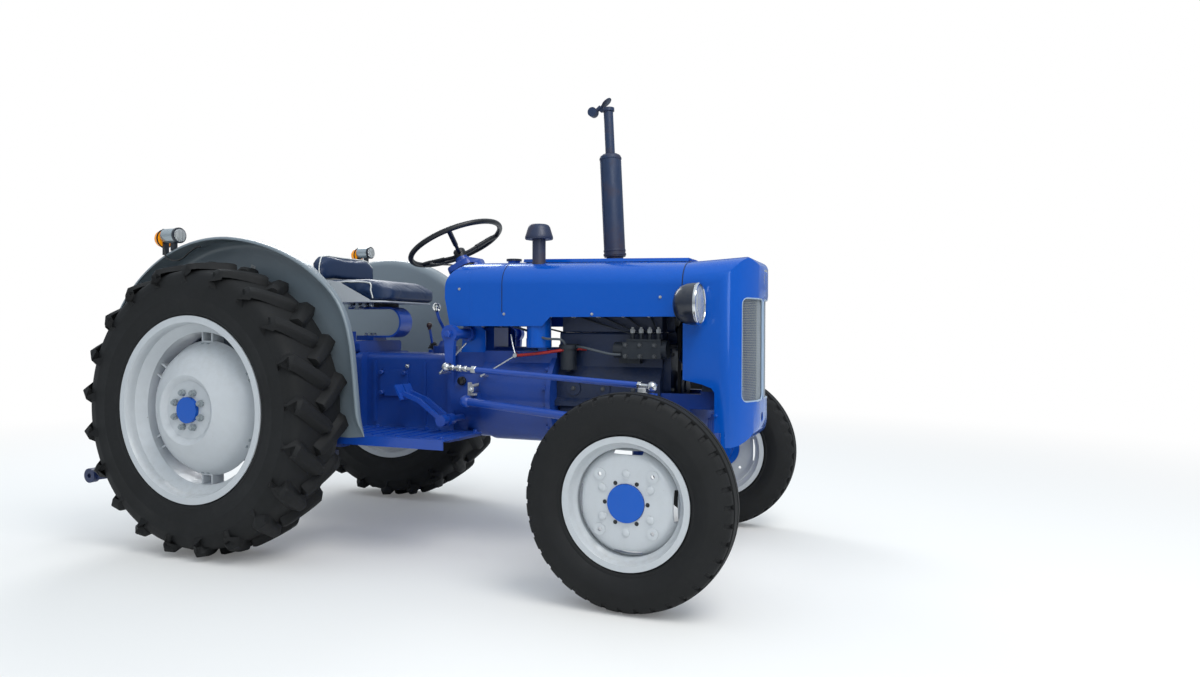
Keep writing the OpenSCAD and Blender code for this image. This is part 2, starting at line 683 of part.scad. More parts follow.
module nose_form(inset) {
    intersection() {
        translate([nose_rear, 0, nose_crown]) rotate([0, -nose_rise, 0]) translate([-nose_rear, 0, -hood_top])
            front_view(nose_rear - 60, nose_x + 60) hood_outline(nose_low - 60, inset);
        side_view(hood_w + 10) nose_side(inset);
        plan_view(nose_low - 5, hood_top + 5) nose_plan(inset);
    }
}

grille_low = 668;
grille_top = 1064;
grille_bar = 9;
module grille_windows(inset) {
    both_sides() front_view(nose_x - 120, nose_x + 20)
        round_box([grille_bar + inset, grille_low + inset], [grille_half_w - inset, grille_top - inset], 26 - inset / 2);
}

module nose_shell() {
    color(paint_blue) difference() {
        nose_form(0);
        translate([-1, 0, 0]) nose_form(sheet);
        block([nose_rear - 5, -half_w + sheet, nose_low - 20], [nose_x - chin_r - 24, half_w - sheet, nose_low + 60]);
        grille_windows(0);
        // starting handle hole
        x_round([nose_x - 90, 0, 598], 100, 20);
    }
}

// Grille: a mesh panel in a bright frame on each side of the centre bar, made of vertical bars
grille_bars = 8;
module grille() {
    pitch = (grille_half_w - grille_bar - 16) / grille_bars;
    color(bare_steel) intersection() {
        difference() {
            translate([-1 - fit, 0, 0]) nose_form(sheet);
            translate([-7, 0, 0]) nose_form(sheet);
        }
        union() {
            difference() {
                grille_windows(-6);
                grille_windows(6);
            }
            both_sides() for (i = [1 : grille_bars - 1])
                block([nose_x - 100, grille_bar + 8 + i * pitch - 2, grille_low], [nose_x, grille_bar + 8 + i * pitch + 2, grille_top]);
        }
    }
}

// Bonnet: a pressed sheet with a deeper rear part, and holes for the flap, silencer and intake
tank_front = 1130;
step_x = 1361;
flap_half = 62;
flap_rear = 1150;
flap_front = 1890;
module bonnet() {
    color(paint_blue) difference() {
        union() {
            hood_run(tank_front + fit, nose_rear - fit, hood_low) difference() {
                hood_outline(tank_low - 40, 0);
                hood_outline(tank_low - 50, sheet);
            }
            hood_run(tank_front + fit, step_x, tank_low) difference() {
                hood_outline(tank_low - 40, 0);
                hood_outline(tank_low - 50, sheet);
            }
        }
        block([flap_rear + 16, -flap_half + 12, hood_top - 40], [flap_front - 16, flap_half - 12, hood_top + 10]);
        translate([stack_x, stack_y, 1100]) cylinder(h = 200, r = 40);
        translate([intake[0], intake[1], 1100]) cylinder(h = 200, r = 28 + fit);
        // the lower edge sweeps up from the tank's depth to the front's
        both_sides() translate([step_x, half_w + 5, tank_low]) rotate([90, 0, 0])
            linear_extrude(sheet + 20) polygon([[-38, -1], [1, -1], [1, 38], [-4, 34]]);
    }
}

// Raised flap along the bonnet's crown, hinged at the front, over the radiator cap and battery
flap_h = 14;
flap_wall = 6;
module bonnet_flap() {
    color(paint_blue) translate([tank_rear, 0, hood_top + 0.5]) rotate([0, hood_fall, 0]) translate([-tank_rear, 0, 0]) {
        difference() {
            front_view(flap_rear, flap_front) polygon([[-flap_half, 0], [-flap_half + flap_wall, flap_h],
                [flap_half - flap_wall, flap_h], [flap_half, 0]]);
            front_view(flap_rear + sheet, flap_front - sheet) polygon([[-flap_half + sheet, -1],
                [-flap_half + flap_wall + sheet, flap_h - sheet], [flap_half - flap_wall - sheet, flap_h - sheet],
                [flap_half - sheet, -1]]);
        }
        both_sides() y_round([flap_front + 5, 30, 7], 24, 5);
    }
}

// Fuel tank between bonnet and cowl, with its filler neck and cap
filler = [1072, 0];
module fuel_tank() {
    color(paint_blue) {
        hood_run(tank_rear, tank_front, tank_low) hood_outline(tank_low - 40, 0);
        translate([filler[0], filler[1], hood_top - 12]) cylinder(h = 20, r = 27);
    }
    color(bare_steel) translate([filler[0], filler[1], hood_top + 8]) cylinder(h = 10, r = 34);
}

// Cowl behind the tank: it carries the instruments and lets the steering column through
cowl_rear = 864;
column_foot = [951, 950];
module cowl_side(inset) {
    r = 120 - inset;
    x0 = cowl_rear + inset;
    top = hood_top - inset;
    difference() {
        union() {
            translate([x0 + r, tank_low - 5]) square([tank_rear - x0 - r, top + 5 - tank_low + inset]);
            translate([x0, tank_low - 5]) square([tank_rear - x0, top - r - tank_low]);
            translate([x0 + r, top - r - 6]) circle(r);
        }
        polygon([[x0 - 5, tank_low - 6], [x0 + 26, tank_low - 6], [x0 - 1, 1080], [x0 - 5, 1080]]);
    }
}
module cowl_form(inset) {
    intersection() {
        front_view(cowl_rear, tank_rear - fit) hood_outline(tank_low, inset);
        side_view(hood_w + 10) cowl_side(inset);
    }
}
column_dir = [-sin(column_lean), 0, cos(column_lean)];
wheel_centre = [771, 0, steering_wheel_z];
function column_at(z) = wheel_centre + column_dir * ((z - wheel_centre[2]) / column_dir[2]);
module dash_cowl() {
    floor_rear = cowl_rear + 30;
    color(paint_blue) {
        difference() {
            union() {
                difference() {
                    cowl_form(0);
                    translate([1.5, 0, -5]) cowl_form(sheet);
                }
                block([floor_rear, -half_w + 1, tank_low], [tank_rear - fit, half_w - 1, tank_low + sheet]);
                both_sides() side_plate();
            }
            rod(column_at(900), column_at(1280), 27);
            both_sides() y_round([shaft_x, 100, shaft_z], 60, sleeve_r + fit);
        }
    }
}
// A plate each side from the cowl down to the clutch housing
module side_plate() {
    translate([0, 142, 0]) rotate([90, 0, 0]) linear_extrude(5) polygon([[cowl_rear + 34, tank_low + 1],
        [tank_rear - fit, tank_low + 1], [tank_rear - fit, tank_low - 2],
        [1008, 934], [1008, 842], [cowl_rear + 24, 842]]);
}

// Steering box on the clutch housing with a cross shaft each side, and the column up to the wheel
shaft_z = 922;
shaft_x = 930;
shaft_r = 22;
sleeve_r = 32;
module steering_box() {
    color(paint_blue) {
        block([876, -66, 842], [1008, 66, 950]);
        both_sides() {
            y_round([shaft_x, 60, shaft_z], 106, sleeve_r);
            y_round([shaft_x, 60, shaft_z], drop_y - 50, shaft_r);
        }
        rod(column_at(925), column_at(1200), 23);
        rod(column_at(1195), column_at(1262), 33);
        rod(column_at(1255), column_at(1290), 27);
    }
}

// Steering wheel: a round rim on three flattened spokes
module steering_wheel() {
    r = steering_wheel_d / 2;
    color(rubber_black) translate(wheel_centre) rotate([0, -column_lean, 0]) {
        rotate_extrude() translate([r, 0]) circle(12);
        for (a = [0, 120, 240]) rotate([0, 0, a]) {
            rod([24, 0, -25], [r - 4, 0, -2], 8);
            rod([r - 70, 0, -9], [r - 4, 0, -1], 10);
        }
        translate([0, 0, -45 / cos(column_lean) + fit]) cylinder(h = 34, r = 28);
        translate([0, 0, -20]) cylinder(h = 12, r = 20);
    }
}

// Drop arms on the ends of the cross shaft, and the drag links to the steering arms
drop_len = 138;
drop_y = 296;
link_z = shaft_z - drop_len;
module drop_arm(side) {
    on_side(side) color(paint_blue) difference() {
        union() {
            y_round([shaft_x, drop_y - 16, shaft_z], 30, 37);
            translate([shaft_x, drop_y + 14, 0]) rotate([90, 0, 0]) linear_extrude(20)
                polygon([[-26, shaft_z], [26, shaft_z], [17, link_z], [-17, link_z]]);
            y_round([shaft_x, drop_y - 6, link_z], 20, 22);
        }
        y_round([shaft_x, drop_y - 40, shaft_z], 52, shaft_r + run);
        y_round([shaft_x, drop_y - 40, link_z], 80, 9 + run);
    }
}
link_front_y = king_y - arm_len;
module drag_link(side) {
    rear_end = [shaft_x, drop_y + 34, link_z];
    front_end = [front_x, link_front_y, arm_z + 35];
    span = front_end - rear_end;
    on_side(side) {
        color(paint_blue) rod(rear_end + 0.16 * span, rear_end + 0.94 * span, 12);
        color(bare_steel) {
            rod(rear_end, rear_end + 0.165 * span, 8.5);
            rod(rear_end + 0.935 * span, front_end, 8.5);
            translate(rear_end) sphere(19);
            translate(front_end) sphere(19);
            y_round([shaft_x, drop_y - 5, link_z], 36, 9);
        }
    }
}

// Clutch housing and gearbox castings, with side covers, ribs and the gear lever turret
gearbox_top = 832;
module clutch_and_gearbox() {
    color(paint_blue) difference() {
        union() {
            front_view(392, 852 + ahead) round_box([-148, 462], [148, gearbox_top], 28);
            both_sides() {
                side_pad(470, 148, [150, 120], 640);
                for (x = [430, 700 + ahead]) block([x, 140, 520], [x + 14, 158, 800]);
                // bracket that holds the footboard's rear
                block([560, 140, 470], [600, 320, board_z - 6]);
            }
            translate([ahead, 0, 0]) clutch_housing();
        }
        y_round([pedal_shaft[0] + ahead, -400, pedal_shaft[1]], 800, 14 + fit);
    }
}
bell_top = 850;
module clutch_housing() {
    front_view(1010, engine_rear - fit) {
        translate([0, 660]) circle(206);
        translate([-150, 700]) square([300, bell_top - 700]);
    }
    front_view(850, 1012) {
        translate([0, 640]) circle(178);
        translate([-142, 640]) square([284, 202]);
    }
    front_view(engine_rear - 22, engine_rear - fit) translate([0, 660]) circle(222);
    front_view(836, 868) round_box([-172, 450], [172, gearbox_top + 6], 34);
    both_sides() {
        // bracket that holds the footboard's front, and the pad of the radius rod's ball
        block([900, 40, 470], [940, 320, board_z - 6]);
        block([976, 160, 612], [1024, 236, 672]);
    }
    translate([700, 30, gearbox_top - 2]) cylinder(h = 34, r = 58);
    translate([700, 30, gearbox_top + 30]) cylinder(h = 26, r1 = 40, r2 = 24);
}
module side_pad(x, y, size, z) {
    block([x, y - 4, z], [x + size[0], y + 12, z + size[1]]);
}

// Rear axle: centre casting, the two trumpets that carry the shafts, and the brake back plates
axle_end_y = rear_y + 6;
module rear_axle_case() {
    color(paint_blue) difference() {
        union() {
            front_view(-232, 392 - fit) round_box([-186, 430], [186, gearbox_top], 46);
            front_view(360, 392 - fit) round_box([-190, 440], [190, gearbox_top + 4], 34);
            front_view(-262, -230) translate([0, 600]) circle(150);
            front_view(-276, -258) translate([0, pto_z]) circle(62);
            both_sides() {
                y_round([0, 180, rear_r], 40, 150);
                translate([0, 216, rear_r]) rotate([-90, 0, 0]) cylinder(h = axle_end_y - 226, r1 = 112, r2 = 66);
                y_round([0, axle_end_y - 22, rear_r], 22, 118);
                y_round([0, 468, rear_r], 14, 108);
                // bracket of the fender
                block([6, 468, rear_r + 80], [50, fender_y - fit, rear_r + 250]);
                // lower link pins and their bosses
                y_round([link_pivot[0], 150, link_pivot[2]], link_pivot[1] - 150 + 26, 14);
                block([link_pivot[0] - 34, 140, link_pivot[2] - 34], [link_pivot[0] + 34, 196, 470]);
            }
            // hanger of the drawbar
            block([-190, -50, drawbar_z - 26], [-160, -40, 440]);
            block([-190, 40, drawbar_z - 26], [-160, 50, 440]);
            block([-190, -50, drawbar_z - 30], [-160, 50, drawbar_z - 18]);
        }
        x_round([-300, 0, pto_z], 120, pto_r + run);
        both_sides() y_round([0, axle_end_y - 60, rear_r], 80, 34 + run);
    }
}

// Lift cover: the hydraulic top casting with the cross shaft's bosses, the top link rocker and the seat's foot
lift_shaft = [-120, 872];
module lift_cover() {
    color(paint_blue) difference() {
        union() {
            front_view(-230, 358) round_box([-160, gearbox_top + fit], [160, 888], 18);
            y_round([lift_shaft[0], -176, lift_shaft[1]], 352, 46);
            front_view(-250, -228) polygon([[-60, gearbox_top + 1], [60, gearbox_top + 1], [40, 905], [-40, 905]]);
            both_sides() block([-300, 22, 850], [-240, 36, 905]);
            // control quadrant on the driver's right
            mirror([0, 1, 0]) block([250, 150, 850], [330, 176, 930]);
        }
        y_round([lift_shaft[0], -250, lift_shaft[1]], 500, 24 + run);
        y_round([-276, -60, 884], 120, 9.7);
        block([-400, -200, 700], [400, 200, gearbox_top + fit]);
    }
}

// Lift arms on their cross shaft, the rods that hang from them, and the lower links
link_pivot = [-20, 262, 372];
arm_reach = 225;
arm_end_z = 812;
link_eye = [-link_reach, 555, 248];
rod_on_link = 0.46;
module lift_arms() {
    color(paint_blue) {
        y_round([lift_shaft[0], -212, lift_shaft[1]], 424, 24);
        both_sides() difference() {
            union() {
                y_round([lift_shaft[0], 184, lift_shaft[1]], 30, 44);
                translate([0, 212, 0]) rotate([90, 0, 0]) linear_extrude(22) polygon([
                    [lift_shaft[0] - 6, lift_shaft[1] + 38], [lift_shaft[0] - 6, lift_shaft[1] - 38],
                    [lift_shaft[0] - arm_reach, arm_end_z - 20], [lift_shaft[0] - arm_reach, arm_end_z + 20]]);
                y_round([lift_shaft[0] - arm_reach, 190, arm_end_z], 22, 24);
            }
            y_round([lift_shaft[0] - arm_reach, 180, arm_end_z], 60, 9 + run);
        }
    }
}
// the point on a lower link's centre line, at this share of its length
function on_link(s) = link_pivot + s * (link_eye - link_pivot);
module lift_rods() {
    top = [lift_shaft[0] - arm_reach, 236, arm_end_z];
    low = on_link(rod_on_link) - [0, 36, 0];
    color(bare_steel) both_sides() {
        rod(top, low, 12);
        rod(top + 0.28 * (low - top), top + 0.62 * (low - top), 18);
        y_round([top[0], 190, top[2]], 64, 9);
        y_round([top[0], 222, top[2]], 28, 21);
        y_round([low[0], low[1] - 12, low[2]], 18, 20);
        y_round([low[0], low[1] - 20, low[2]], 24, 8);
    }
}
module lower_links() {
    color(paint_blue) both_sides() difference() {
        v = link_eye - link_pivot;
        yaw = atan2(v[1], v[0]);
        pitch = atan2(v[2], norm([v[0], v[1]]));
        union() {
            translate(link_pivot) rotate([0, 0, yaw]) rotate([0, -pitch, 0])
                block([0, -9, -24], [norm(v), 9, 24]);
            translate(link_pivot) rotate([0, 0, yaw - 180]) y_round([0, -14, 0], 28, 32);
            translate(link_eye) y_round([0, -15, 0], 30, link_eye_out);
            // the lift rod's pin, held in the link
            y_round(on_link(rod_on_link) - [0, 22, 0], 42, 13);
        }
        y_round(link_pivot - [0, 60, 0], 120, 14 + run);
        y_round(link_eye - [0, 40, 0], 80, link_eye_r);
    }
}

// Swinging drawbar, pinned under the casting
module drawbar() {
    color(paint_dark) difference() {
        plan_view(drawbar_z - 18 + fit, drawbar_z + 7) {
            translate([-540, -34]) square([620, 68]);
            translate([-540, 0]) circle(34);
        }
        translate([-540, 0, drawbar_z - 30]) cylinder(h = 60, r = drawbar_hole_r);
    }
    color(paint_dark) translate([60, 0, drawbar_z - 20]) cylinder(h = 430 - drawbar_z + 20, r = 12);
}

// Power take-off stub with six splines
pto_z = 560;
pto_r = 17.45;
module pto_shaft() {
    color(bare_steel) difference() {
        x_round([-352, 0, pto_z], 160, pto_r);
        for (i = [0 : 5]) translate([0, 0, pto_z]) rotate([60 * i, 0, 0])
            block([-360, -4.4, 14.6], [-284, 4.4, 20]);
    }
}

// Fenders: an inner plate and a narrow curved top, both of one thick sheet
fender_y = rear_y - rear_tyre_w / 2 - 22;
fender_r = rear_r + 108;
fender_out = 142;
module fender_plate_outline(inset) {
    difference() {
        union() {
            translate([0, rear_r]) circle(fender_r - inset, $fn = 96);
            translate([0, 500]) square([648 - inset, rear_r - 500 + 200]);
        }
        translate([648 - inset, 0]) square([400, 1500]);
        polygon([[648 - inset, 499], [900, 499], [900, 1200], [604 - inset, 960]]);
        translate([-900, -200]) square([2000, 700]);
        polygon([[0, 560], [-900, 1080], [-900, 0], [0, 0]]);
        translate([0, rear_r]) circle(170);
        translate([-900, -100]) square([900, 900]);
    }
}
module fenders() {
    color(fender_grey) both_sides() {
        translate([0, fender_y + sheet, 0]) rotate([90, 0, 0]) linear_extrude(sheet) fender_plate_outline(0);
        // the top, with its outer edge running in to nothing towards the front
        intersection() {
            translate([0, fender_y, 0]) rotate([-90, 0, 0]) mirror([0, 1, 0]) linear_extrude(fender_out) difference() {
                fender_plate_outline(0);
                fender_plate_outline(sheet);
                translate([-900, 0]) square([2000, 560]);
                translate([-900, 0]) square([800, 860]);
            }
            plan_view(450, 1500) polygon([[-900, 0], [-900, fender_y + fender_out - 20], [-560, fender_y + fender_out],
                [60, fender_y + fender_out], [560, fender_y + 44], [660, fender_y + 34], [660, 0]]);
        }
    }
}

// Footboards: ribbed plates on brackets, with a turned-down edge
module footboards() {
    color(paint_blue) both_sides() {
        block([430, 196, board_z - 6], [1020 + ahead, fender_y - fit, board_z]);
        block([430, fender_y - 4 - fit, board_z - 40], [1020 + ahead, fender_y - fit, board_z]);
        for (i = [0 : 8]) block([470 + 60 * i, 230, board_z - 1], [482 + 60 * i, fender_y - 40, board_z + 4]);
    }
}

// Seat: a bent leaf spring on the lift cover, the pan, and the two pads
spring_x = 430;
spring_low = 902;
spring_r = 72;
module seat_frame() {
    color(paint_blue) side_view(64) {
        translate([spring_x, spring_low + spring_r]) difference() {
            circle(spring_r);
            circle(spring_r - 9);
            translate([-200, -100]) square([200, 200]);
        }
        translate([spring_x - 180, spring_low]) square([180, 9]);
        translate([spring_x - 230, spring_low + 2 * spring_r - 9]) square([230, 9]);
    }
    color(bare_steel) {
        block([250, -50, 888 + fit], [350, 50, spring_low]);
        block([215, -90, spring_low + 2 * spring_r], [400, 90, 1066]);
    }
    color(wheel_white) {
        plan_view(1064, 1072) seat_plan(8);
        difference() {
            plan_view(1070, 1110) seat_plan(0);
            plan_view(1060, 1150) seat_plan(5);
            block([330, -400, 1060], [800, 400, 1200]);
        }
        block([100, -120, 1064], [170, 120, 1072]);
        block([100, -120, 1064], [112, 120, 1230]);
    }
}
module seat_plan(inset) {
    round_box([150 + inset, -seat_w / 2 + inset], [520 - inset, seat_w / 2 - inset], 70 - inset);
}
module seat_cushion() {
    color(vinyl_black) difference() {
        intersection() {
            plan_view(1072 + fit, 1200) seat_plan(6);
            side_view(seat_w + 20) polygon([[140, 1060], [530, 1060], [530, 1108], [505, 1140], [465, 1158],
                [420, seat_top], [140, seat_top]]);
        }
    }
}
module seat_back() {
    color(vinyl_black) translate([112 + fit, 0, 0]) intersection() {
        side_view(500) polygon([[0, seat_top + 6], [62, seat_top + 6], [60, 1270], [38, 1296], [12, 1296], [0, 1270]]);
        front_view(0, 90) round_box([-205, seat_top + 6], [205, 1300], 40);
    }
}

// Pedals: the clutch on the left and two brakes on the right, on one cross shaft
pedal_shaft = [905, 560];
module pedals() {
    color(paint_blue) {
        y_round([pedal_shaft[0], -330, pedal_shaft[1]], 660, 14);
        for (y = [-320, -262, 292]) translate([0, y, 0]) {
            side_view(14) polygon(strip([pedal_shaft, [790, 640], [706, 669]], 18));
            y_round([pedal_shaft[0], -16, pedal_shaft[1]], 32, 24);
            translate([700, 0, 672]) rotate([0, 62, 0]) cube([70, 52, 8], center = true);
        }
    }
}

// Levers: main and range gear levers, hand throttle and the linkage control
module levers() {
    color(paint_blue) {
        translate([ahead, 0, 0]) {
            translate([700, 28, gearbox_top + 56]) cylinder(h = 12, r = 15);
            rod([700, 28, gearbox_top + 60], [712, -24, 1030], 7);
            rod([596, 84, gearbox_top + 4], [588, 56, 950], 6);
            translate([596, 84, gearbox_top]) cylinder(h = 14, r = 24);
        }
        rod([290, -184, 905], [420, -192, 980], 6);
        y_round([290, -190, 905], 14, 20);
    }
    color(bare_steel) translate([712 + ahead, -24, 1040]) sphere(17);
    color(vinyl_black) {
        translate([588 + ahead, 56, 956]) sphere(14);
        translate([420, -192, 982]) sphere(14);
    }
}

// Lamps: round headlamp shells on the nose's sides, and a lamp with a rear flasher on each fender
lamp_r = 78;
headlamp = [1968, half_w + 82, 1036];
side_lamps = [[1, -215, 622, 1382], [-1, -254, 630, 1343]];
module lamps() {
    color(paint_dark) {
        both_sides() translate([ahead, 0, 0]) {
            translate(headlamp) rotate([0, 90, 0]) difference() {
                rotate_extrude() polygon([[0, -62], [28, -60], [52, -50], [68, -32], [76, -8], [lamp_r, 10],
                    [lamp_r, 34], [lamp_r - 4, 36], [0, 36]]);
                translate([0, 0, 14]) cylinder(h = 40, r = lamp_r - 5);
            }
            rod([headlamp[0] - 12, half_w + fit, headlamp[2]], [headlamp[0] - 12, headlamp[1] - 50, headlamp[2]], 13);
        }
        for (l = side_lamps) on_side(l[0]) translate([l[1], l[2], 0]) {
            x_round([-46, 0, l[3]], 76, 31);
            x_round([24, 0, l[3]], 10, 34);
            difference() {
                union() {
                    block([-52, -14, 1180], [-45, 14, l[3] + 30]);
                    block([-12, -8, 1180], [12, 8, l[3] - 20]);
                }
                y_round([-l[1], -100, rear_r], 200, fender_r + fit, $fn = 96);
            }
        }
    }
}
module lamp_glass() {
    color([0.92, 0.93, 0.95]) {
        both_sides() translate(headlamp + [14 + ahead, 0, 0]) rotate([0, 90, 0]) rotate_extrude()
            polygon([[0, 0], [lamp_r - 5 - fit, 0], [lamp_r - 5 - fit, 20], [50, 27], [26, 31], [0, 32]]);
        for (l = side_lamps) on_side(l[0]) x_round([l[1] + 34, l[2], l[3]], 4, 29);
    }
    color([0.95, 0.55, 0.05]) for (l = side_lamps) on_side(l[0]) x_round([l[1] - 76, l[2], l[3] - 12], 24, 37);
}

module in_frame() { translate([-mid_x, 0, 0]) children(); }
module in_front() { in_frame() translate([ahead, 0, 0]) children(); }

in_frame() clutch_and_gearbox();
in_frame() rear_axle_case();
in_frame() lift_cover();
in_front() engine_block();
in_front() cylinder_head();
in_front() exhaust_manifold();
in_front() injection_pump();
in_front() dynamo_and_starter();
in_front() fan_belt();
in_front() radiator();
in_front() front_support();
in_front() front_axle();
in_front() radius_rods();
in_front() nose_shell();
in_front() grille();
in_front() bonnet();
in_front() bonnet_flap();
in_front() fuel_tank();
in_front() dash_cowl();
in_front() air_cleaner();
in_front() exhaust_stack();
in_front() rain_cap();
in_front() fan();
in_front() steering_box();
in_front() steering_wheel();
in_front() drop_arm(1);  // drop_arm_left
in_front() drop_arm(-1);  // drop_arm_right
in_front() drag_link(1);  // drag_link_left
in_front() drag_link(-1);  // drag_link_right
in_front() knuckle(1);  // knuckle_left
in_front() knuckle(-1);  // knuckle_right
in_front() front_hub(1);  // front_hub_left
in_front() front_hub(-1);  // front_hub_right
in_front() front_rim(1);  // front_rim_left
in_front() front_rim(-1);  // front_rim_right
in_front() front_tyre(1);  // front_tyre_left
in_front() front_tyre(-1);  // front_tyre_right
in_frame() rear_hub(1);  // rear_hub_left
in_frame() rear_hub(-1);  // rear_hub_right
in_frame() rear_rim(1);  // rear_rim_left
in_frame() rear_rim(-1);  // rear_rim_right
in_frame() rear_tyre(1);  // rear_tyre_left
in_frame() rear_tyre(-1);  // rear_tyre_right
in_frame() fenders();
in_frame() footboards();
in_frame() seat_frame();
in_frame() seat_cushion();
in_frame() seat_back();
in_front() pedals();
in_frame() levers();
in_frame() lamps();
in_frame() lamp_glass();
in_frame() lift_arms();
in_frame() lift_rods();
in_frame() lower_links();
in_frame() drawbar();
in_frame() pto_shaft();
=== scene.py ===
import math

import bmesh
import bpy
from mathutils import Matrix, Vector
from mathutils.bvhtree import BVHTree
from mathutils.geometry import delaunay_2d_cdt
from mathutils.kdtree import KDTree


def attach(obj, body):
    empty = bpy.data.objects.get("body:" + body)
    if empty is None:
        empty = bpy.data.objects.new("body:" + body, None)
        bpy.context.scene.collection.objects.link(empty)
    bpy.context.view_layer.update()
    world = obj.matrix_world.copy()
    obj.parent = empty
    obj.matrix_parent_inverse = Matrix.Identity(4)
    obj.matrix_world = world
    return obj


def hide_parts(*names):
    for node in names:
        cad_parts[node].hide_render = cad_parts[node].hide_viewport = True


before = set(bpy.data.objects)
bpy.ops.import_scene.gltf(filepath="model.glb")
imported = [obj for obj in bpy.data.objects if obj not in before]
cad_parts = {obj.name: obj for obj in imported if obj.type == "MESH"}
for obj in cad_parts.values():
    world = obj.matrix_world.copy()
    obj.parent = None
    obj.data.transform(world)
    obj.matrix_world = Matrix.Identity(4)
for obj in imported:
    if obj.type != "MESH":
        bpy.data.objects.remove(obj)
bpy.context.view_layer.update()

# The stand: a photographer's view from the front right, on a pale seamless floor in even studio light.
# The camera's place and lens are those that fit the tractor's known wheels to the photograph.
scene = bpy.context.scene
scene.view_settings.view_transform = "Standard"

EYE = Vector((2.0812, -3.1761, 0.9339))
YAW, PITCH, ROLL = (math.radians(a) for a in (-21.557, -0.501, 0.197))
forward = Vector((math.sin(YAW) * math.cos(PITCH), math.cos(YAW) * math.cos(PITCH), math.sin(PITCH)))
level = Vector((math.cos(YAW), -math.sin(YAW), 0))
upright = level.cross(forward)
right = level * math.cos(ROLL) + upright * math.sin(ROLL)
up = upright * math.cos(ROLL) - level * math.sin(ROLL)
camera = bpy.data.objects.new("camera", bpy.data.cameras.new("camera"))
camera.data.sensor_width = 36
camera.data.lens = 36 * 798.92 / 1200
camera.matrix_world = Matrix((
    (right.x, up.x, -forward.x, EYE.x),
    (right.y, up.y, -forward.y, EYE.y),
    (right.z, up.z, -forward.z, EYE.z),
    (0, 0, 0, 1)))
scene.collection.objects.link(camera)
scene.camera = camera


def add_node(tree, kind, inputs=None, **settings):
    """One shader or geometry node, with its settings and with values or sockets on its inputs."""
    made = tree.nodes.new(kind)
    for key, value in settings.items():
        setattr(made, key, value)
    for key, value in (inputs or {}).items():
        if isinstance(value, bpy.types.NodeSocket):
            tree.links.new(value, made.inputs[key])
        else:
            made.inputs[key].default_value = value
    return made


def paint_colour(code):
    """An sRGB hex colour as the linear colour that a shader takes."""
    parts = [int(code[i:i + 2], 16) / 255 for i in (1, 3, 5)]
    return tuple(c / 12.92 if c <= 0.04045 else ((c + 0.055) / 1.055) ** 2.4 for c in parts) + (1.0,)


def blank_material(name):
    """An empty material with its shader, ready for its pattern."""
    made = bpy.data.materials.new(name)
    made.use_nodes = True
    tree = made.node_tree
    tree.nodes.clear()
    shader = add_node(tree, "ShaderNodeBsdfPrincipled")
    add_node(tree, "ShaderNodeOutputMaterial", {"Surface": shader.outputs[0]})
    return made, tree, shader


# Floor and air: pale paper that keeps the tractor's shadow, with white behind it
floor_mesh = bpy.data.meshes.new("studio_floor")
floor_mesh.from_pydata([(-40, -40, 0), (40, -40, 0), (40, 40, 0), (-40, 40, 0)], [], [(0, 1, 2, 3)])
floor = bpy.data.objects.new("studio_floor", floor_mesh)
scene.collection.objects.link(floor)
paper, tree, shader = blank_material("matt_backdrop_paper")
shader.inputs["Base Color"].default_value = paint_colour("#E9E9E7")
shader.inputs["Roughness"].default_value = 0.9
# the paper sweeps up behind the tractor into white, seen by the camera only
sweep = add_node(tree, "ShaderNodeVectorMath", {0: add_node(tree, "ShaderNodeTexCoord").outputs["Object"]},
                 operation="LENGTH")
far = add_node(tree, "ShaderNodeMapRange", {0: sweep.outputs["Value"], 1: 1.9, 2: 7.0, 3: 0.12, 4: 1.0},
               interpolation_type="SMOOTHSTEP")
eye_ray = add_node(tree, "ShaderNodeLightPath")
fade = add_node(tree, "ShaderNodeMath", {0: far.outputs[0], 1: eye_ray.outputs["Is Camera Ray"]},
                operation="MULTIPLY")
bright = add_node(tree, "ShaderNodeEmission", {"Color": (1, 1, 1, 1), "Strength": 1.0})
swept = add_node(tree, "ShaderNodeMixShader", {0: fade.outputs[0], 1: shader.outputs[0], 2: bright.outputs[0]})
for node in tree.nodes:
    if node.type == "OUTPUT_MATERIAL":
        tree.links.new(swept.outputs[0], node.inputs["Surface"])
floor_mesh.materials.append(paper)

world = bpy.data.worlds.new("studio_air")
world.use_nodes = True
tree = world.node_tree
tree.nodes.clear()
seen = add_node(tree, "ShaderNodeLightPath")
straight = add_node(tree, "ShaderNodeMath", {0: seen.outputs["Is Camera Ray"],
                                             1: seen.outputs["Is Transmission Ray"]},
                    operation="MAXIMUM")
# the air is brighter overhead than at the horizon, as it is out of doors
heading = add_node(tree, "ShaderNodeSeparateXYZ", {0: add_node(tree, "ShaderNodeTexCoord").outputs["Generated"]})
overhead = add_node(tree, "ShaderNodeMapRange", {0: heading.outputs[2], 1: -0.1, 2: 0.9, 3: 0.34, 4: 1.0})
lit = add_node(tree, "ShaderNodeBackground", {"Color": (0.84, 0.92, 1.0, 1), "Strength": overhead.outputs[0]})
white = add_node(tree, "ShaderNodeBackground", {"Color": (1, 1, 1, 1), "Strength": 1.0})
both = add_node(tree, "ShaderNodeMixShader", {0: straight.outputs[0], 1: lit.outputs[0], 2: white.outputs[0]})
add_node(tree, "ShaderNodeOutputWorld", {"Surface": both.outputs[0]})
scene.world = world

